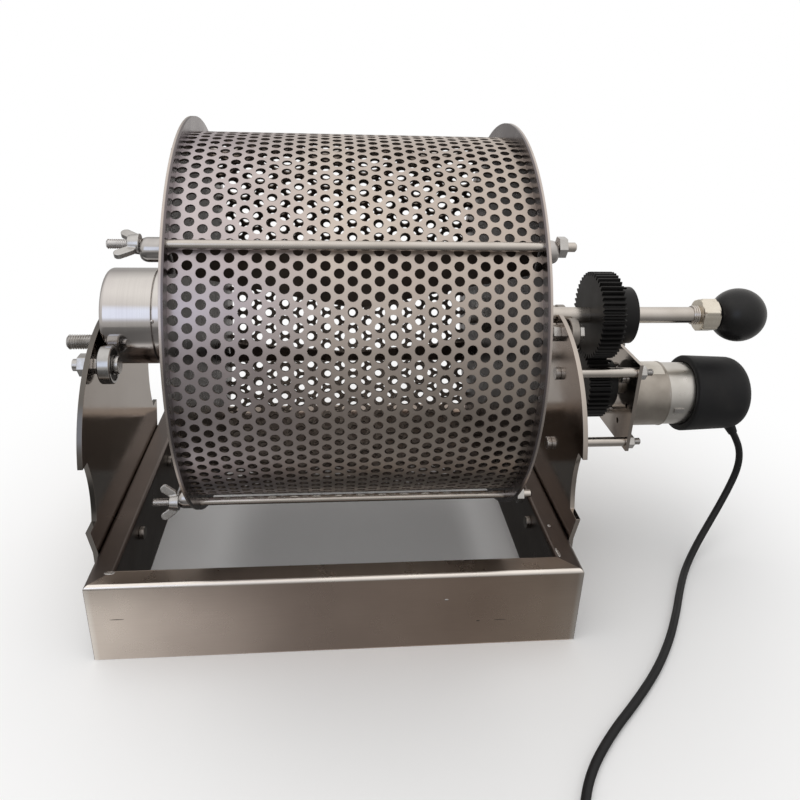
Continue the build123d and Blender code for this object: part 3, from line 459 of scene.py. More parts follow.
label_paper = moulded(
    "label_blank_film", colour(0.76, 0.71, 0.63), colour(0.62, 0.57, 0.49),
    (0.35, 0.5), 0.5 * MM, 0.004 * MM,
)

# Mesh helpers. Edges stay sharp beyond these angles in degrees.
SHARP = 35
SHARP_THREAD = 28
SHARP_BOOT = 50
SHARP_NUT = 20
SHARP_BEAD = 80
WELD_DISTANCE = 0.002 * MM


def built(name, builder):
    """Mesh of what a bmesh builder holds."""
    mesh = bpy.data.meshes.new(name)
    bmesh.ops.recalc_face_normals(builder, faces=builder.faces)
    builder.to_mesh(mesh)
    builder.free()
    return mesh


def piece(name, made, materials, body, replaced=(), sharp=SHARP):
    """Puts a mesh, or what a bmesh builder holds, in the scene as a piece that rides on a body."""
    mesh = built(name, made) if isinstance(made, bmesh.types.BMesh) else made
    obj = placed(name, mesh)
    for material in materials:
        mesh.materials.append(material)
    mesh.shade_smooth()
    mesh.set_sharp_from_angle(angle=math.radians(sharp))
    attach(obj, body)
    if replaced:
        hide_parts(*replaced)
    return obj


def solids_of(name):
    """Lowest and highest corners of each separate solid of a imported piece."""
    builder = bmesh.new()
    builder.from_mesh(nodes[name].data)
    bmesh.ops.remove_doubles(builder, verts=builder.verts, dist=WELD_DISTANCE)
    seen = set()
    boxes = []
    for first in builder.verts:
        if first in seen:
            continue
        seen.add(first)
        group = [first]
        for vert in group:
            for edge in vert.link_edges:
                other = edge.other_vert(vert)
                if other not in seen:
                    seen.add(other)
                    group.append(other)
        low = Vector([min(vert.co[i] for vert in group) for i in range(3)])
        high = Vector([max(vert.co[i] for vert in group) for i in range(3)])
        boxes.append((low, high))
    builder.free()
    return boxes


def round_form(low, high):
    """Centre in Y and Z, and radius, of a round form along X between two corners."""
    return ((low.y + high.y) / 2, (low.z + high.z) / 2), (high.z - low.z) / 2


def round_point(x, radius, angle, centre):
    """Point round an axis along X. The angle goes from +Y towards +Z."""
    return (x, centre[0] + radius * math.cos(angle), centre[1] + radius * math.sin(angle))


def on_drum(x, radius, angle):
    return round_point(x, radius, angle, (axis_y, axis_z))


def skin(builder, rings):
    """Joins rings of equally many points into a closed form."""
    count = len(rings[0])
    for first, second in zip(rings, rings[1:]):
        for side in range(count):
            after = (side + 1) % count
            builder.faces.new((first[side], second[side], second[after], first[after]))
    builder.faces.new(list(reversed(rings[0])))
    builder.faces.new(rings[-1])


def add_turned(builder, centre, stations, sides, bend=None):
    """Adds a closed form round an axis along X, from stations of x, radius and what bend needs.

    bend gives the x and radius of a station's points at a turn from 0 to 1.
    """
    rings = []
    for station in stations:
        ring = []
        for side in range(sides):
            turn = side / sides
            x, radius = bend(*station, turn) if bend else station
            ring.append(builder.verts.new(round_point(x, radius, 2 * math.pi * turn, centre)))
        rings.append(ring)
    skin(builder, rings)


# Perforated sheet
HOLE_COLUMNS = 28
HOLES_ROUND = 92
HOLE_SIDES = 12
HOLE_RADIUS = 2.2 * MM
HOLE_COLUMN_PITCH = 5.52 * MM
FIRST_HOLE_ANGLE = math.radians(145.7)
SHELL_WALL = 1.0 * MM


def perforated_shell():
    """Rolled sheet with staggered round holes: one cell of mesh round each hole."""
    quarter = math.pi / (2 * HOLES_ROUND)
    ring_points = 4 * HOLES_ROUND
    radii = (shell_radius, shell_radius - SHELL_WALL)
    first_x = drum_middle_x - HOLE_COLUMN_PITCH * HOLE_COLUMNS / 2
    # Rim of a cell, in half pitches along the drum and quarter pitches round it
    rim = [(1, 0), (1, 1), (1, 2), (0, 2), (-1, 2), (-1, 1)]
    rim += [(-along, -round_) for along, round_ in rim]
    points = []
    faces = []
    face_materials = []
    index = {}

    def grid_point(along, round_, layer):
        key = (along, round_ % ring_points, layer)
        if key not in index:
            index[key] = len(points)
            x = first_x + along * HOLE_COLUMN_PITCH / 2
            if along < 0:
                x = shell_low.x
            elif along > 2 * HOLE_COLUMNS:
                x = shell_high.x
            points.append(on_drum(x, radii[layer], FIRST_HOLE_ANGLE + key[1] * quarter))
        return index[key]

    def face(corners, inside):
        faces.append(corners)
        face_materials.append(int(inside))

    for column in range(HOLE_COLUMNS):
        for hole in range(HOLES_ROUND):
            along = 2 * column + 1
            round_ = 4 * hole + 2 * (column % 2)
            centre_x = first_x + along * HOLE_COLUMN_PITCH / 2
            centre_angle = FIRST_HOLE_ANGLE + round_ * quarter
            edges = []
            for layer in (0, 1):
                start = len(points)
                for side in range(HOLE_SIDES):
                    turn = 2 * math.pi * side / HOLE_SIDES
                    x = centre_x + HOLE_RADIUS * math.cos(turn)
                    angle = centre_angle + HOLE_RADIUS * math.sin(turn) / shell_radius
                    points.append(on_drum(x, radii[layer], angle))
                edges.append(range(start, start + HOLE_SIDES))
            outer, inner = edges
            for side in range(HOLE_SIDES):
                after = (side + 1) % HOLE_SIDES
                rims = [
                    [grid_point(along + rim[s][0], round_ + rim[s][1], layer) for s in (side, after)]
                    for layer in (0, 1)
                ]
                face((outer[side], rims[0][0], rims[0][1], outer[after]), False)
                face((inner[after], rims[1][1], rims[1][0], inner[side]), True)
                face((outer[after], inner[after], inner[side], outer[side]), True)
    last = 2 * HOLE_COLUMNS
    for low, high in ((-1, 0), (last, last + 1)):
        for round_ in range(ring_points):
            square = [(low, round_), (high, round_), (high, round_ + 1), (low, round_ + 1)]
            face(tuple(grid_point(a, r, 0) for a, r in square), False)
            face(tuple(grid_point(a, r, 1) for a, r in reversed(square)), True)
    for along, way in ((-1, 1), (last + 1, -1)):
        for round_ in range(ring_points):
            square = [(round_, 0), (round_, 1), (round_ + 1, 1), (round_ + 1, 0)][::way]
            face(tuple(grid_point(along, r, layer) for r, layer in square), False)
    mesh = bpy.data.meshes.new("perforated_shell")
    mesh.from_pydata(points, [], faces)
    materials = [drum_steel, drum_inside]
    piece("perforated_shell", mesh, materials, "drum", ["drum_shell"])
    mesh.polygons.foreach_set("material_index", face_materials)


# Threaded and plain bars
ROD_SIDES = 24
THREAD_STEPS = 8
TIP_SHARE = 0.72
FINE_PITCH = 0.7 * MM
FINE_DEPTH = 0.4 * MM
COARSE_PITCH = 1.25 * MM
COARSE_DEPTH = 0.7 * MM
SHAFT_PITCH = 1.2 * MM
SHAFT_DEPTH = 0.35 * MM
SHAFT_THREAD_RADIUS = 5.38 * MM
SHAFT_THREAD_LENGTH = 3.5 * MM


def thread_stations(start, end, pitch):
    """Places along a thread, close enough together to show its flanks."""
    count = max(2, round((end - start) / pitch * THREAD_STEPS))
    return [start + (end - start) * step / count for step in range(count + 1)]


def thread(pitch, depth):
    """Bend that cuts a groove where a station is threaded."""

    def bend(x, radius, is_threaded, turn):
        groove = depth * abs(2 * ((x / pitch + turn) % 1) - 1) if is_threaded else 0.0
        return x, radius - groove

    return bend


def bar_stations(start, end, radius, thread_start, thread_end, pitch):
    """Stations of a bar with chamfered ends and a thread over part of its length."""
    chamfer = radius * (1 - TIP_SHARE)
    stations = [(start, radius * TIP_SHARE, False), (start + chamfer, radius, False)]
    threads = thread_stations(max(thread_start, start + chamfer), min(thread_end, end - chamfer), pitch)
    if threads[0] > start + 2 * chamfer:
        stations.append((threads[0] - pitch / THREAD_STEPS, radius, False))
    stations += [(x, radius, True) for x in threads]
    if threads[-1] < end - 2 * chamfer:
        stations.append((threads[-1] + pitch / THREAD_STEPS, radius, False))
    stations += [(end - chamfer, radius, False), (end, radius * TIP_SHARE, False)]
    return stations


def threaded(node, thread_start, thread_end, pitch, depth, material, body):
    """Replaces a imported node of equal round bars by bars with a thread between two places."""
    builder = bmesh.new()
    for low, high in solids_of(node):
        centre, radius = round_form(low, high)
        stations = bar_stations(low.x, high.x, radius, thread_start, thread_end, pitch)
        add_turned(builder, centre, stations, ROD_SIDES, thread(pitch, depth))
    return piece(f"threaded_{node}", builder, [material], body, [node], SHARP_THREAD)


def threaded_bars():
    """Tie rods, stop bolt, standoff studs and the shaft's end with their threads."""
    rod_low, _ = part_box("tie_rods")
    bush_low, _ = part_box("left_rod_bushes")
    rods = threaded(
        "tie_rods", rod_low.x, bush_low.x, FINE_PITCH, FINE_DEPTH,
        bar_steel, "drum",
    )
    rods.data.materials.append(thread_steel)
    for face in rods.data.polygons:
        face.material_index = int(face.center.x < bush_low.x)
    bolt_low, bolt_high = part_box("stop_bolt")
    threaded(
        "stop_bolt", bolt_low.x, bolt_high.x, COARSE_PITCH, COARSE_DEPTH,
        zinc, "frame",
    )
    _, bracket_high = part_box("motor_bracket")
    _, stud_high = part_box("standoff_studs")
    threaded(
        "standoff_studs", bracket_high.x, stud_high.x, FINE_PITCH, FINE_DEPTH,
        zinc, "frame",
    )
    nut_low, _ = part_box("lock_nut")
    start = nut_low.x - SHAFT_THREAD_LENGTH
    stations = [(x, SHAFT_THREAD_RADIUS, True) for x in thread_stations(start, nut_low.x, SHAFT_PITCH)]
    builder = bmesh.new()
    groove = thread(SHAFT_PITCH, SHAFT_DEPTH)
    add_turned(builder, (axis_y, axis_z), stations, ROD_SIDES, groove)
    piece("shaft_thread", builder, [bar_steel], "drum", sharp=SHARP_THREAD)


BUSH_RADIUS = 5.0 * MM
BUSH_SHIFT = 2.2 * MM
BUSH_ROUND = 1.8 * MM
BUSH_ROUND_LENGTH = 3.2 * MM
BUSH_ROUND_STEPS = 8
BUSH_SIDES = 40


def rod_bushes():
    """Bushes on the tie rods, set in towards the drum's middle height, with a rounded outer edge."""
    builder = bmesh.new()
    for node, way in (("left_rod_bushes", -1), ("right_rod_bushes", 1)):
        for low, high in solids_of(node):
            outer, inner = (low.x, high.x) if way < 0 else (high.x, low.x)
            stations = []
            for step in range(BUSH_ROUND_STEPS + 1):
                turn = math.pi / 2 * step / BUSH_ROUND_STEPS
                x = outer - way * BUSH_ROUND_LENGTH * (1 - math.cos(turn))
                stations.append((x, BUSH_RADIUS - BUSH_ROUND * (1 - math.sin(turn))))
            stations.append((inner, BUSH_RADIUS))
            (rod_y, rod_z), _ = round_form(low, high)
            set_in = math.copysign(BUSH_SHIFT, axis_z - rod_z)
            add_turned(builder, (rod_y, rod_z + set_in), stations, BUSH_SIDES)
    replaced = ["left_rod_bushes", "right_rod_bushes"]
    piece("turned_rod_bushes", builder, [bush_steel], "drum", replaced)


# Motor
MOTOR_SIDES = 96
BOOT_RIM_TILT = math.radians(5.0)
BOOT_TAPER = 1.0 * MM
BOOT_SHORTER = 1.2 * MM
BOOT_RIM_ROUND = 1.0 * MM
BOOT_EDGE_RADIUS = 9.0 * MM
BOOT_EDGE_STEPS = 10
# Inside and outside of the rim: along the boot, then out from the motor can or in from the rim's
# radius, both in rim rounds, and the share of the rim's lean
BOOT_INSIDE = [(3.0, 0.0, 1.0), (0.5, 0.3, 1.0), (0.0, 1.0, 1.0)]
BOOT_OUTSIDE = [(0.0, 1.0, 1.0), (0.3, 0.3, 1.0), (1.0, 0.0, 0.9), (4.0, 0.1, 0.6)]


def boot_lean(x, radius, share, turn):
    """Bend that leans the boot's rim, by a share that fades along the boot."""
    return x + share * math.tan(BOOT_RIM_TILT) * radius * math.sin(2 * math.pi * turn), radius


def motor_boot():
    """Rubber boot pulled over the motor: slightly tapered, with a leaning rim and a round edge."""
    low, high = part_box("motor_cap")
    centre, rim_radius = round_form(low, high)
    _, can_radius = round_form(*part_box("motor_can"))
    corner_x = high.x - BOOT_SHORTER - BOOT_EDGE_RADIUS
    corner_radius = rim_radius - BOOT_TAPER
    stations = [
        (low.x + along * BOOT_RIM_ROUND, can_radius + away * BOOT_RIM_ROUND, share)
        for along, away, share in BOOT_INSIDE
    ]
    stations += [
        (low.x + along * BOOT_RIM_ROUND, rim_radius - inward * BOOT_RIM_ROUND, share)
        for along, inward, share in BOOT_OUTSIDE
    ]
    for step in range(BOOT_EDGE_STEPS + 1):
        turn = math.pi / 2 * step / BOOT_EDGE_STEPS
        radius = corner_radius - BOOT_EDGE_RADIUS * (1 - math.cos(turn))
        stations.append((corner_x + BOOT_EDGE_RADIUS * math.sin(turn), radius, 0.0))
    builder = bmesh.new()
    add_turned(builder, centre, stations, MOTOR_SIDES, boot_lean)
    piece("motor_boot", builder, [cap_rubber], "frame", ["motor_cap"], SHARP_BOOT)


WRAP_STEPS = 16


def wrapped_plate(name, start, length, centre, radius, thickness, angles, material):
    """Thin plate on the motor that lies round a cylinder along X, between two angles in degrees."""
    end = start + length
    outer = radius + thickness
    corners = [(start, radius), (end, radius), (end, outer), (start, outer)]
    builder = bmesh.new()
    rings = []
    for step in range(WRAP_STEPS + 1):
        angle = math.radians(angles[0] + (angles[1] - angles[0]) * step / WRAP_STEPS)
        rings.append([builder.verts.new(round_point(x, r, angle, centre)) for x, r in corners])
    skin(builder, rings)
    piece(name, builder, [material], "frame")


LABEL_GAP = 0.5 * MM
LABEL_LENGTH = 20.5 * MM
LABEL_ANGLES = (66.0, 119.0)
LABEL_THICKNESS = 0.12 * MM
TAB_START = 3.0 * MM
TAB_LENGTH = 5.5 * MM
TAB_ANGLES = (183.0, 192.0)
TAB_THICKNESS = 0.9 * MM
SEAM_LENGTH = 0.8 * MM
SEAM_THICKNESS = 0.25 * MM


def motor_details():
    """Blank label and rolled seam on the gearbox, and a tab on the motor can."""
    low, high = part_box("gearbox")
    _, bracket_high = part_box("motor_bracket")
    can_low, can_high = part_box("motor_can")
    centre, radius = round_form(low, high)
    _, can_radius = round_form(can_low, can_high)
    wrapped_plate(
        "blank_label", bracket_high.x + LABEL_GAP, LABEL_LENGTH, centre, radius,
        LABEL_THICKNESS, LABEL_ANGLES, label_paper,
    )
    wrapped_plate(
        "can_tab", can_low.x + TAB_START, TAB_LENGTH, centre, can_radius,
        TAB_THICKNESS, TAB_ANGLES, zinc,
    )
    builder = bmesh.new()
    stations = [
        (high.x - SEAM_LENGTH, radius),
        (high.x - SEAM_LENGTH / 2, radius + SEAM_THICKNESS),
        (high.x, radius + SEAM_THICKNESS),
        (high.x + SEAM_LENGTH / 2, radius - SEAM_THICKNESS),
    ]
    add_turned(builder, centre, stations, MOTOR_SIDES)
    piece("gearbox_seam", builder, [gearbox_metal], "frame")


# Bearings, lock nut, welds and marks
SHIELD_GAP = 0.1 * MM
SHIELD_INSET = 1.7 * MM
SHIELD_DEPTH = 0.35 * MM
SHIELD_SIDES = 48


def bearing_shields():
    """Dark shields on both faces of each ball bearing."""
    for name in ("left_front", "left_back", "right_front", "right_back"):
        low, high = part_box(f"roller_{name}")
        centre, roller_radius = round_form(low, high)
        side_name = name.split("_")[0]
        _, ring_radius = round_form(*solids_of(f"{side_name}_inner_rings")[0])
        radii = (ring_radius + SHIELD_GAP, roller_radius - SHIELD_INSET)
        builder = bmesh.new()
        for x in (low.x + SHIELD_DEPTH, high.x - SHIELD_DEPTH):
            turns = [2 * math.pi * side / SHIELD_SIDES for side in range(SHIELD_SIDES)]
            inner, outer = [
                [builder.verts.new(round_point(x, radius, turn, centre)) for turn in turns]
                for radius in radii
            ]
            for side in range(SHIELD_SIDES):
                after = (side + 1) % SHIELD_SIDES
                builder.faces.new((inner[side], outer[side], outer[after], inner[after]))
        piece(f"shields_{name}", builder, [seal_rubber], f"{name}_roller")


NUT_SIDES = 120
NUT_TURN = math.radians(4.0)
# One end of the nut: share of its length, and the most that its radius is of the flats' distance
NUT_CHAMFER = [(0.0, 0.97), (0.03, 1.03), (0.12, 2.0)]


def chamfered_nut():
    """Hexagon nut with chamfered corners on the shaft's end, one flat to the front."""
    low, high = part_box("lock_nut")
    _, flat = round_form(low, high)
    length = high.x - low.x
    sixth = math.pi / 3

    def hexagon(x, limit, turn):
        from_flat = (2 * math.pi * turn - NUT_TURN + sixth / 2) % sixth - sixth / 2
        return x, min(flat / math.cos(from_flat), flat * limit)

    profile = NUT_CHAMFER + [(1 - share, limit) for share, limit in reversed(NUT_CHAMFER)]
    stations = [(low.x + length * share, limit) for share, limit in profile]
    builder = bmesh.new()
    add_turned(builder, (axis_y, axis_z), stations, NUT_SIDES, hexagon)
    piece("chamfered_lock_nut", builder, [nut_steel], "drum", ["lock_nut"], SHARP_NUT)


BEAD_SUBDIVISIONS = 3


def bead(name, place, half_sizes, material, body):
    """Small flat drop of metal, such as a tack weld or a nick, with half sizes in millimetres."""
    builder = bmesh.new()
    sizes = [size * MM for size in half_sizes]
    stretch = Matrix.Translation(place) @ Matrix.Diagonal((*sizes, 1.0))
    bmesh.ops.create_icosphere(builder, subdivisions=BEAD_SUBDIVISIONS, radius=1.0, matrix=stretch)
    piece(name, builder, [material], body, sharp=SHARP_BEAD)


# Beads on the frame: name, place in millimetres, half sizes in millimetres, material
FRAME_BEADS = [
    ("rail_mark_left", (-154.0, -91.0, 24.5), (3.4, 0.06, 0.22), scorched_steel),
    ("rail_mark_middle", (19.0, -91.0, 15.0), (0.9, 0.06, 0.35), scorched_steel),
    ("rail_mark_right", (30.0, -91.0, 15.2), (3.2, 0.06, 0.2), scorched_steel),
    ("rail_weld_spot", (2.5, -91.0, 29.0), (1.0, 0.25, 0.5), zinc),
    ("corner_weld_left", (-157.5, -81.5, 44.0), (2.6, 1.2, 0.22), zinc),
    ("corner_weld_right", (60.5, -77.0, 44.0), (0.9, 3.4, 0.22), zinc),
    ("rail_nick_right", (62.5, -55.0, 44.0), (1.1, 1.0, 0.2), zinc),
]
NECK_WELD_ANGLE = math.radians(167.0)
NECK_WELD_SIZE = (0.9, 0.5, 1.1)


def welds_and_marks():
    for name, place, half_sizes, material in FRAME_BEADS:
        bead(name, Vector(place) * MM, half_sizes, material, "frame")
    low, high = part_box("neck_collar")
    _, radius = round_form(low, high)
    place = Vector(on_drum(low.x, radius, NECK_WELD_ANGLE))
    bead("neck_tack_weld", place, NECK_WELD_SIZE, neck_steel, "drum")


# Cord, in millimetres: the route, then a coil that spirals in, climbs a layer and spirals out
CORD_RADIUS = 2.0
CORD_ROUTE = [
    (185.142, -7.107, 71.554),
    (188.642, -8.879, 65.757),
    (190.8, -10.5, 57.8),
    (190.6, -11.6, 48.8),
    (187.5, -13.2, 38.8),
    (181.8, -16.6, 28.2),
    (173.5, -22.5, 18.0),
    (163.0, -31.2, 9.0),
    (151.5, -43.5, 2.0),
    (140.6, -60.3, 2.0),
    (129.9, -78.4, 2.0),
    (117.8, -96.7, 2.0),
    (103.3, -114.6, 2.0),
    (86.2, -131.4, 2.0),
    (68.2, -147.3, 2.0),
    (52.1, -165.1, 2.0),
    (42.5, -184.9, 2.4),
    (39.4, -204.7, 3.05),
    (39.4, -222.7, 3.05),
]
COIL_RADIUS = 28.0
COIL_PITCH = 4.6
COIL_HALF_TURNS_IN = 6
COIL_HALF_TURNS_OUT = 5
COIL_REVERSAL_STEP = 2.2
COIL_TAIL = 24.0
COIL_TAIL_SHARES = (0.3, 0.65, 1.0)
COIL_POINTS = 8
CORD_BEVEL_STEPS = 5
CORD_CURVE_STEPS = 6


def coil_points():
    """Control points of the coil and of the tail that leads to the plug."""
    start = Vector(CORD_ROUTE[-1])
    centre = start - Vector((COIL_RADIUS, 2 * CORD_RADIUS, 0))
    step = COIL_PITCH / 2
    radii = [COIL_RADIUS - step * turn for turn in range(COIL_HALF_TURNS_IN + 2)]
    outward = radii[-2] + COIL_REVERSAL_STEP
    radii += [outward + step * turn for turn in range(COIL_HALF_TURNS_OUT)]
    rises = [0.0] * (COIL_HALF_TURNS_IN + 1) + [COIL_PITCH] * (COIL_HALF_TURNS_OUT + 1)
    drawn_in = math.cos(math.pi / (2 * COIL_POINTS))
    points = []
    for turn in range(len(radii) - 1):
        side = 1 if turn % 2 == 0 else -1
        begin = side * radii[turn]
        end = -side * radii[turn + 1]
        middle = (begin + end) / 2
        reach = abs(begin - end) / 2 / drawn_in
        for point in range(COIL_POINTS):
            share = (point + 0.5) / COIL_POINTS
            angle = math.pi * share
            rise = rises[turn] + (rises[turn + 1] - rises[turn]) * share
            across = middle + side * reach * math.cos(angle)
            points.append(centre + Vector((across, -side * reach * math.sin(angle), rise)))
    last = centre + Vector((radii[-1] * (1 if len(radii) % 2 else -1), 0, rises[-1]))
    return points + [last - Vector((0, COIL_TAIL * share, 0)) for share in COIL_TAIL_SHARES]


STRAP_THICKNESS = 0.6 * MM
STRAP_STEPS = 72
STRAP_START = 0.17
STRAP_LAP = 0.22
STRAP_LIFT_TURNS = 1 / 12
STRAP_SQUARENESS = 0.5


def cord_strap():
    """Woven strap round the coil, with its free end lapped over the top."""
    low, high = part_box("cord_tie")
    middle = (low + high) / 2
    half = (high - low) / 2
    builder = bmesh.new()
    rings = []
    steps = round(STRAP_STEPS * (1 + STRAP_LAP))
    for step in range(steps + 1):
        turn = step / STRAP_STEPS
        angle = 2 * math.pi * (turn + STRAP_START)
        way = Vector((math.cos(angle), math.sin(angle)))
        rounded = Vector([math.copysign(abs(v) ** STRAP_SQUARENESS, v) for v in way])
        lifted = STRAP_THICKNESS * min(1.0, max(0.0, (turn - 1) / STRAP_LIFT_TURNS + 1))
        ring = []
        for depth, ends in ((0.0, (low.x, high.x)), (STRAP_THICKNESS, (high.x, low.x))):
            y = middle.y + rounded.x * (half.y - depth + lifted)
            z = middle.z + rounded.y * (half.z - depth + lifted)
            ring += [builder.verts.new((x, y, max(z, 0.0))) for x in ends]
        rings.append(ring)
    skin(builder, rings)
    return piece("cord_strap", builder, [tie_fabric], "frame", ["cord_tie"])


def cord():
    """Cord from the motor cap to the plug, as one smooth line."""
    curve = bpy.data.curves.new("cord", "CURVE")
    curve.dimensions = "3D"
    curve.bevel_depth = CORD_RADIUS * MM
    curve.bevel_resolution = CORD_BEVEL_STEPS
    curve.use_fill_caps = True
    spline = curve.splines.new("NURBS")
    points = [Vector(point) for point in CORD_ROUTE] + coil_points()
    spline.points.add(len(points) - 1)
    for knot, point in zip(spline.points, points):
        knot.co = (*(point * MM), 1.0)
    spline.order_u = 3
    spline.use_endpoint_u = True
    spline.resolution_u = CORD_CURVE_STEPS
    curve.materials.append(cord_rubber)
    obj = placed("cord", curve)
    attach(obj, "frame")
    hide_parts("cord_run", "cord_coil")
    cord_strap()


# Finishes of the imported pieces: material, width of the softened edges in millimetres, nodes
FINISHES = [
    (rail_steel_x, 0.25, "rail_front rail_back"),
    (rail_steel_y, 0.25, "rail_left rail_right"),
    (upright_steel, 0.3, "upright_left upright_right motor_bracket"),
    (plate_steel, 0.4, "end_plate_left end_plate_right"),
    (drum_inside, 0.2, "mixing_vanes"),
    (neck_steel, 0.2, "neck_collar neck_cup"),
    (bar_steel, 0.2, "drum_shaft motor_shaft"),
    (dull_steel, 0.25, "frame_screws frame_nuts"),
    (zinc, 0.25, "left_roller_bolts left_roller_spacers left_roller_nuts stop_bolt_nut"),
    (zinc, 0.25, "right_roller_bolts right_roller_spacers right_roller_nuts plug_barrel"),
    (zinc, 0.25, "standoff_screws standoff_nuts motor_screws rod_nuts"),
    (zinc, 0.25, "hub_nut drum_gear_screw pinion_screw"),
    (bar_steel, 0.25, "standoffs"),
    (bearing_steel, 0.15, "left_inner_rings right_inner_rings roller_left_front roller_left_back"),
    # Painted shade: the right bearings take the darker, duller steel of the screws, unlike the same
    # bearings on the left.
    (dull_steel, 0.15, "roller_right_front roller_right_back"),
    (gearbox_metal, 0.3, "gearbox"),
    (can_metal, 0.3, "motor_can"),
    (gear_black, 0.12, "drum_gear pinion"),
    (knob_black, 0.0, "ball_knob plug_grip"),
    (cap_rubber, 0.0, "cord_grommet"),
]
WING_NUTS = [f"wing_nut_{number}" for number in (1, 2, 3, 4)]
FLAT_WITHIN = math.radians(0.5)
EDGE_SEGMENTS = 2
CAST_VOXEL = 0.22 * MM
CAST_SMOOTHING = 0.5
CAST_SMOOTHING_STEPS = 6


def dress(node, material):
    node.data.materials.clear()
    node.data.materials.append(material)


def weld_points(node):
    node.modifiers.new("weld", "WELD").merge_threshold = WELD_DISTANCE


def soften_edges(node, width):
    """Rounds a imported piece's sharp edges a little, so that they catch the light."""
    weld_points(node)
    flat = node.modifiers.new("flat_faces", "DECIMATE")
    flat.decimate_type = "DISSOLVE"
    flat.angle_limit = FLAT_WITHIN
    bevel = node.modifiers.new("edges", "BEVEL")
    bevel.width = width * MM
    bevel.segments = EDGE_SEGMENTS
    bevel.limit_method = "ANGLE"
    bevel.angle_limit = math.radians(SHARP)
    bevel.use_clamp_overlap = True
    node.modifiers.new("normals", "WEIGHTED_NORMAL")


def cast_shape(node):
    """Gives a wing nut the blended forms of a casting."""
    weld_points(node)
    remesh = node.modifiers.new("blend", "REMESH")
    remesh.mode = "VOXEL"
    remesh.voxel_size = CAST_VOXEL
    remesh.use_smooth_shade = True
    smooth = node.modifiers.new("smooth", "SMOOTH")
    smooth.factor = CAST_SMOOTHING
    smooth.iterations = CAST_SMOOTHING_STEPS


def dress_nodes():
    for material, width, names in FINISHES:
        for name in names.split():
            dress(nodes[name], material)
            if width:
                soften_edges(nodes[name], width)
    for name in WING_NUTS:
        dress(nodes[name], zinc)
        cast_shape(nodes[name])


# Studio, in metres
WHITE = colour(1, 1, 1)
FLOOR_TINT = colour(0.9, 0.9, 0.9)
FLOOR_HALF = 4.0
FADE = (0.13, 0.36)
WORLD_LEVEL = 0.7


def stage_mesh(name, points, faces, material):
    mesh = bpy.data.meshes.new(name)
    mesh.from_pydata(points, [], faces)
    mesh.materials.append(material)
    obj = placed(name, mesh)
    return obj


def seen_directly(graph):
    """1 for rays that see the background: camera, glossy and transmission rays."""
    path = graph.add("ShaderNodeLightPath").outputs
    total = path["Is Camera Ray"]
    for name in ("Is Glossy Ray", "Is Transmission Ray"):
        total = graph.sum("MAXIMUM", total, path[name])
    return total


def floor():
    """Pale floor that keeps the shadow near the object and fades to white further out."""
    material = bpy.data.materials.new("studio_floor")
    graph = Graph(material)
    diffuse = graph.add("ShaderNodeBsdfDiffuse", {"Color": FLOOR_TINT})
    white = graph.add("ShaderNodeEmission", {"Color": WHITE})
    place = graph.add("ShaderNodeTexCoord").outputs["Object"]
    distance = graph.add("ShaderNodeVectorMath", {0: place}, operation="LENGTH")
    fade = graph.spread(distance.outputs["Value"], FADE, interpolation_type="SMOOTHSTEP")
    share = graph.sum("MULTIPLY", fade, seen_directly(graph))
    mix = graph.add("ShaderNodeMixShader", {0: share, 1: diffuse.outputs[0], 2: white.outputs[0]})
    graph.add("ShaderNodeOutputMaterial", {"Surface": mix.outputs[0]})
    corners = [(x * FLOOR_HALF, y * FLOOR_HALF, 0) for x, y in ((-1, -1), (1, -1), (1, 1), (-1, 1))]
    stage_mesh("studio_floor", corners, [(0, 1, 2, 3)], material)


# Light tent that only the object's reflections see. Levels are 1 for white, angles are in degrees.
TENT_RADIUS = 1.4
TENT_SIDES = 72
TENT_RINGS = 18
TENT_TINT = Vector((1.0, 0.975, 0.945))
FRONT_WALL = [(0, 0.40), (12, 0.57), (24, 0.68), (40, 0.88), (55, 1.03), (69, 1.15), (90, 1.08)]
BACK_WALL = [(0, 0.82), (26, 0.86), (48, 0.96), (69, 1.04), (90, 1.08)]
DIM_SIDE = (-180, -170, -120, -95)
DIM_RISE = (-1, 0, 30, 60)
DIM_SHARE = 0.45
WINDOW_SIDE = (-46, -38, -18, -12)
WINDOW_RISE = (13, 19, 38, 44)
WINDOW_LIGHT = Vector((1.15, 1.24, 1.45))
FRONT_MAT = [(0.09, 0.23), (0.15, 0.23), (0.2, 0.19), (0.32, 0.265), (0.58, 0.36), (1.4, 0.42)]
BACK_MAT = [(0.09, 0.42), (0.3, 0.5), (1.4, 0.8)]
MAT_HEIGHT = 0.5 * MM
MAT_SHADE_INSIDE = 0.06
MAT_HALF_LENGTH = 0.117
MAT_HALF_DEPTH = 0.082
MAT_FRONT = 0.09
MAT_LINES = [0.0, 0.03, 0.06, 0.08, 0.09, 0.1, 0.115, 0.125, 0.14, 0.16, 0.18, 0.2, 0.23, 0.27]
MAT_LINES += [0.32, 0.4, 0.58, 0.9, 1.4]
PALE_CORNER_X = (-0.3, -0.22, -0.115, -0.02)
PALE_CORNER_Y = (-0.15, -0.125, -0.09, -0.08)
PALE_CORNER_LEVEL = 0.66
DARK_SIDE_X = (-0.9, -0.5, -0.19, -0.14)
DARK_SIDE_SHARE = 0.5


def curve_at(stops, value):
    """Value of a line through stops of (place, level)."""
    for (low, first), (high, second) in zip(stops, stops[1:]):
        if value <= high:
            share = max(0.0, (value - low) / (high - low))
            return first + (second - first) * share
    return stops[-1][1]


def band(edges, value):
    """1 between the middle two edges, falling to 0 at the outer two."""
    begin, full, fading, end = edges
    if value <= begin or value >= end:
        return 0.0
    if value < full:
        return (value - begin) / (full - begin)
    if value > fading:
        return (end - value) / (end - fading)
    return 1.0


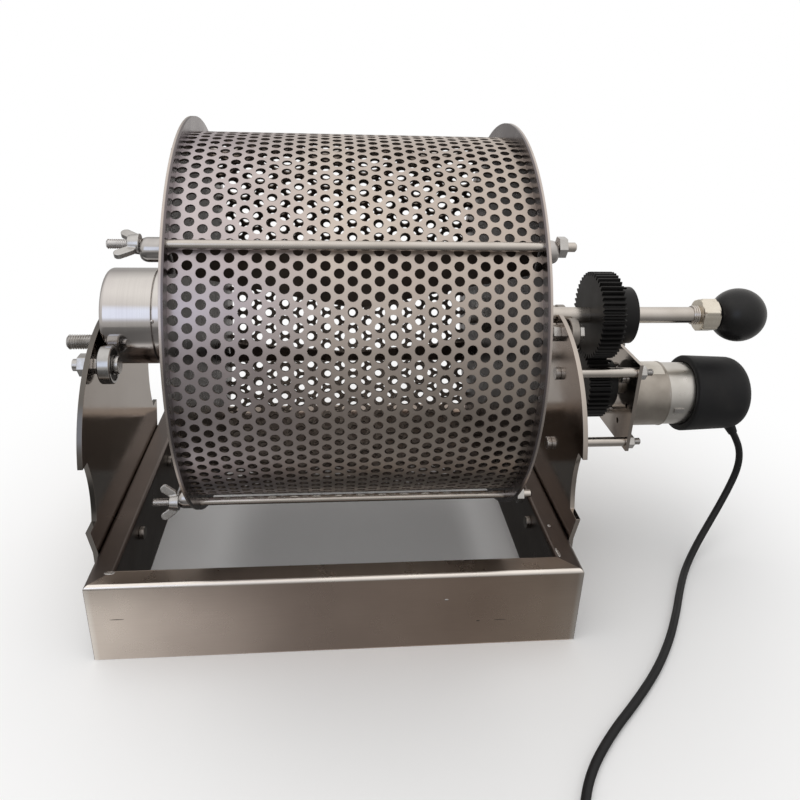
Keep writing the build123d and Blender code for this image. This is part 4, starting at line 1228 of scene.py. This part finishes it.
def wall_light(rise, side):
    """Light of the tent's wall at an elevation and at an angle from the front."""
    back = 0.5 - 0.5 * math.cos(math.radians(side))
    level = curve_at(FRONT_WALL, rise) * (1 - back) + curve_at(BACK_WALL, rise) * back
    level *= 1 - DIM_SHARE * band(DIM_SIDE, side) * band(DIM_RISE, rise)
    window = band(WINDOW_SIDE, side) * band(WINDOW_RISE, rise)
    return TENT_TINT * level * (1 - window) + WINDOW_LIGHT * window


def mat_light(x, y):
    """Light of the mat under and round the object."""
    # Painted shade: the mat is dim inside the base.
    if abs(x) < MAT_HALF_LENGTH and abs(y) < MAT_HALF_DEPTH:
        return TENT_TINT * MAT_SHADE_INSIDE
    away = abs(x)
    if abs(y) > MAT_FRONT:
        away = math.hypot(max(0.0, abs(x) - MAT_HALF_LENGTH), y)
    back = min(1.0, max(0.0, 0.5 + y / (2 * MAT_FRONT)))
    level = curve_at(FRONT_MAT, away) * (1 - back) + curve_at(BACK_MAT, away) * back
    level *= 1 - DARK_SIDE_SHARE * band(DARK_SIDE_X, x)
    pale = band(PALE_CORNER_X, x) * band(PALE_CORNER_Y, y)
    return TENT_TINT * (level * (1 - pale) + PALE_CORNER_LEVEL * pale)


def light_card(name, points, faces, lights):
    """Glowing surface that only reflections see."""
    material = bpy.data.materials.new(name)
    material.cycles.emission_sampling = "NONE"
    graph = Graph(material)
    glow = graph.add("ShaderNodeVertexColor", layer_name="glow")
    emission = graph.add("ShaderNodeEmission", {"Color": glow.outputs["Color"]})
    graph.add("ShaderNodeOutputMaterial", {"Surface": emission.outputs[0]})
    card = stage_mesh(name, points, faces, material)
    layer = card.data.color_attributes.new("glow", "FLOAT_COLOR", "POINT")
    for entry, light in zip(layer.data, lights):
        entry.color = (*light, 1.0)
    for ray in ("camera", "diffuse", "transmission", "shadow"):
        setattr(card, f"visible_{ray}", False)


def tent_wall():
    """Dome of the tent, paler above and behind."""
    points = []
    lights = []
    for ring in range(TENT_RINGS + 1):
        rise = 90 * ring / TENT_RINGS
        for step in range(TENT_SIDES):
            side = 360 * step / TENT_SIDES - 180
            flat = TENT_RADIUS * math.cos(math.radians(rise))
            x = flat * math.sin(math.radians(side))
            y = -flat * math.cos(math.radians(side))
            points.append((x, y, TENT_RADIUS * math.sin(math.radians(rise))))
            lights.append(wall_light(rise, side))
    faces = []
    for low in range(0, TENT_RINGS * TENT_SIDES, TENT_SIDES):
        high = low + TENT_SIDES
        for step in range(TENT_SIDES):
            after = (step + 1) % TENT_SIDES
            faces.append((low + step, low + after, high + after, high + step))
    light_card("tent_wall", points, faces, lights)


def tent_mat():
    """Mat that the object stands on, darker inside the base as painted shade of the floor under the
    drum.
    """
    low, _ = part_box("rail_left")
    _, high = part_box("rail_right")
    centre_x = (low.x + high.x) / 2
    lines = sorted({sign * line for line in MAT_LINES for sign in (-1, 1)})
    points = [(centre_x + x, y, MAT_HEIGHT) for y in lines for x in lines]
    lights = [mat_light(x, y) for y in lines for x in lines]
    count = len(lines)
    corners = [row * count + column for row in range(count - 1) for column in range(count - 1)]
    faces = [(c, c + 1, c + count + 1, c + count) for c in corners]
    light_card("tent_mat", points, faces, lights)


def world():
    """White where the background is seen, and a plain soft level of light otherwise."""
    made = bpy.data.worlds.new("studio")
    bpy.context.scene.world = made
    graph = Graph(made)
    strength = graph.spread(seen_directly(graph), RISING, (WORLD_LEVEL, 1.0))
    background = graph.add("ShaderNodeBackground", {"Color": WHITE, "Strength": strength})
    graph.add("ShaderNodeOutputWorld", {"Surface": background.outputs[0]})


TOP_LIGHT_PLACE = Vector((-0.25, 0.1, 1.3))
TOP_LIGHT_TARGET = Vector((0, 0, 0.1))
TOP_LIGHT_SIZE = 1.4
TOP_LIGHT_POWER = 8.0
TOP_LIGHT_TINT = (1.0, 0.98, 0.96)


def top_light():
    """Wide soft lamp above, which reflections don't see."""
    data = bpy.data.lights.new("top_light", "AREA")
    data.size = TOP_LIGHT_SIZE
    data.energy = TOP_LIGHT_POWER
    data.color = TOP_LIGHT_TINT
    light = placed("top_light", data)
    light.location = TOP_LIGHT_PLACE
    light.rotation_euler = (TOP_LIGHT_TARGET - TOP_LIGHT_PLACE).to_track_quat("-Z", "Y").to_euler()
    light.visible_glossy = False


def studio():
    floor()
    tent_wall()
    tent_mat()
    world()
    top_light()
    bpy.context.scene.view_settings.view_transform = "Standard"


photo_camera()
cord()
perforated_shell()
threaded_bars()
rod_bushes()
motor_boot()
motor_details()
bearing_shields()
chamfered_nut()
welds_and_marks()
dress_nodes()
studio()
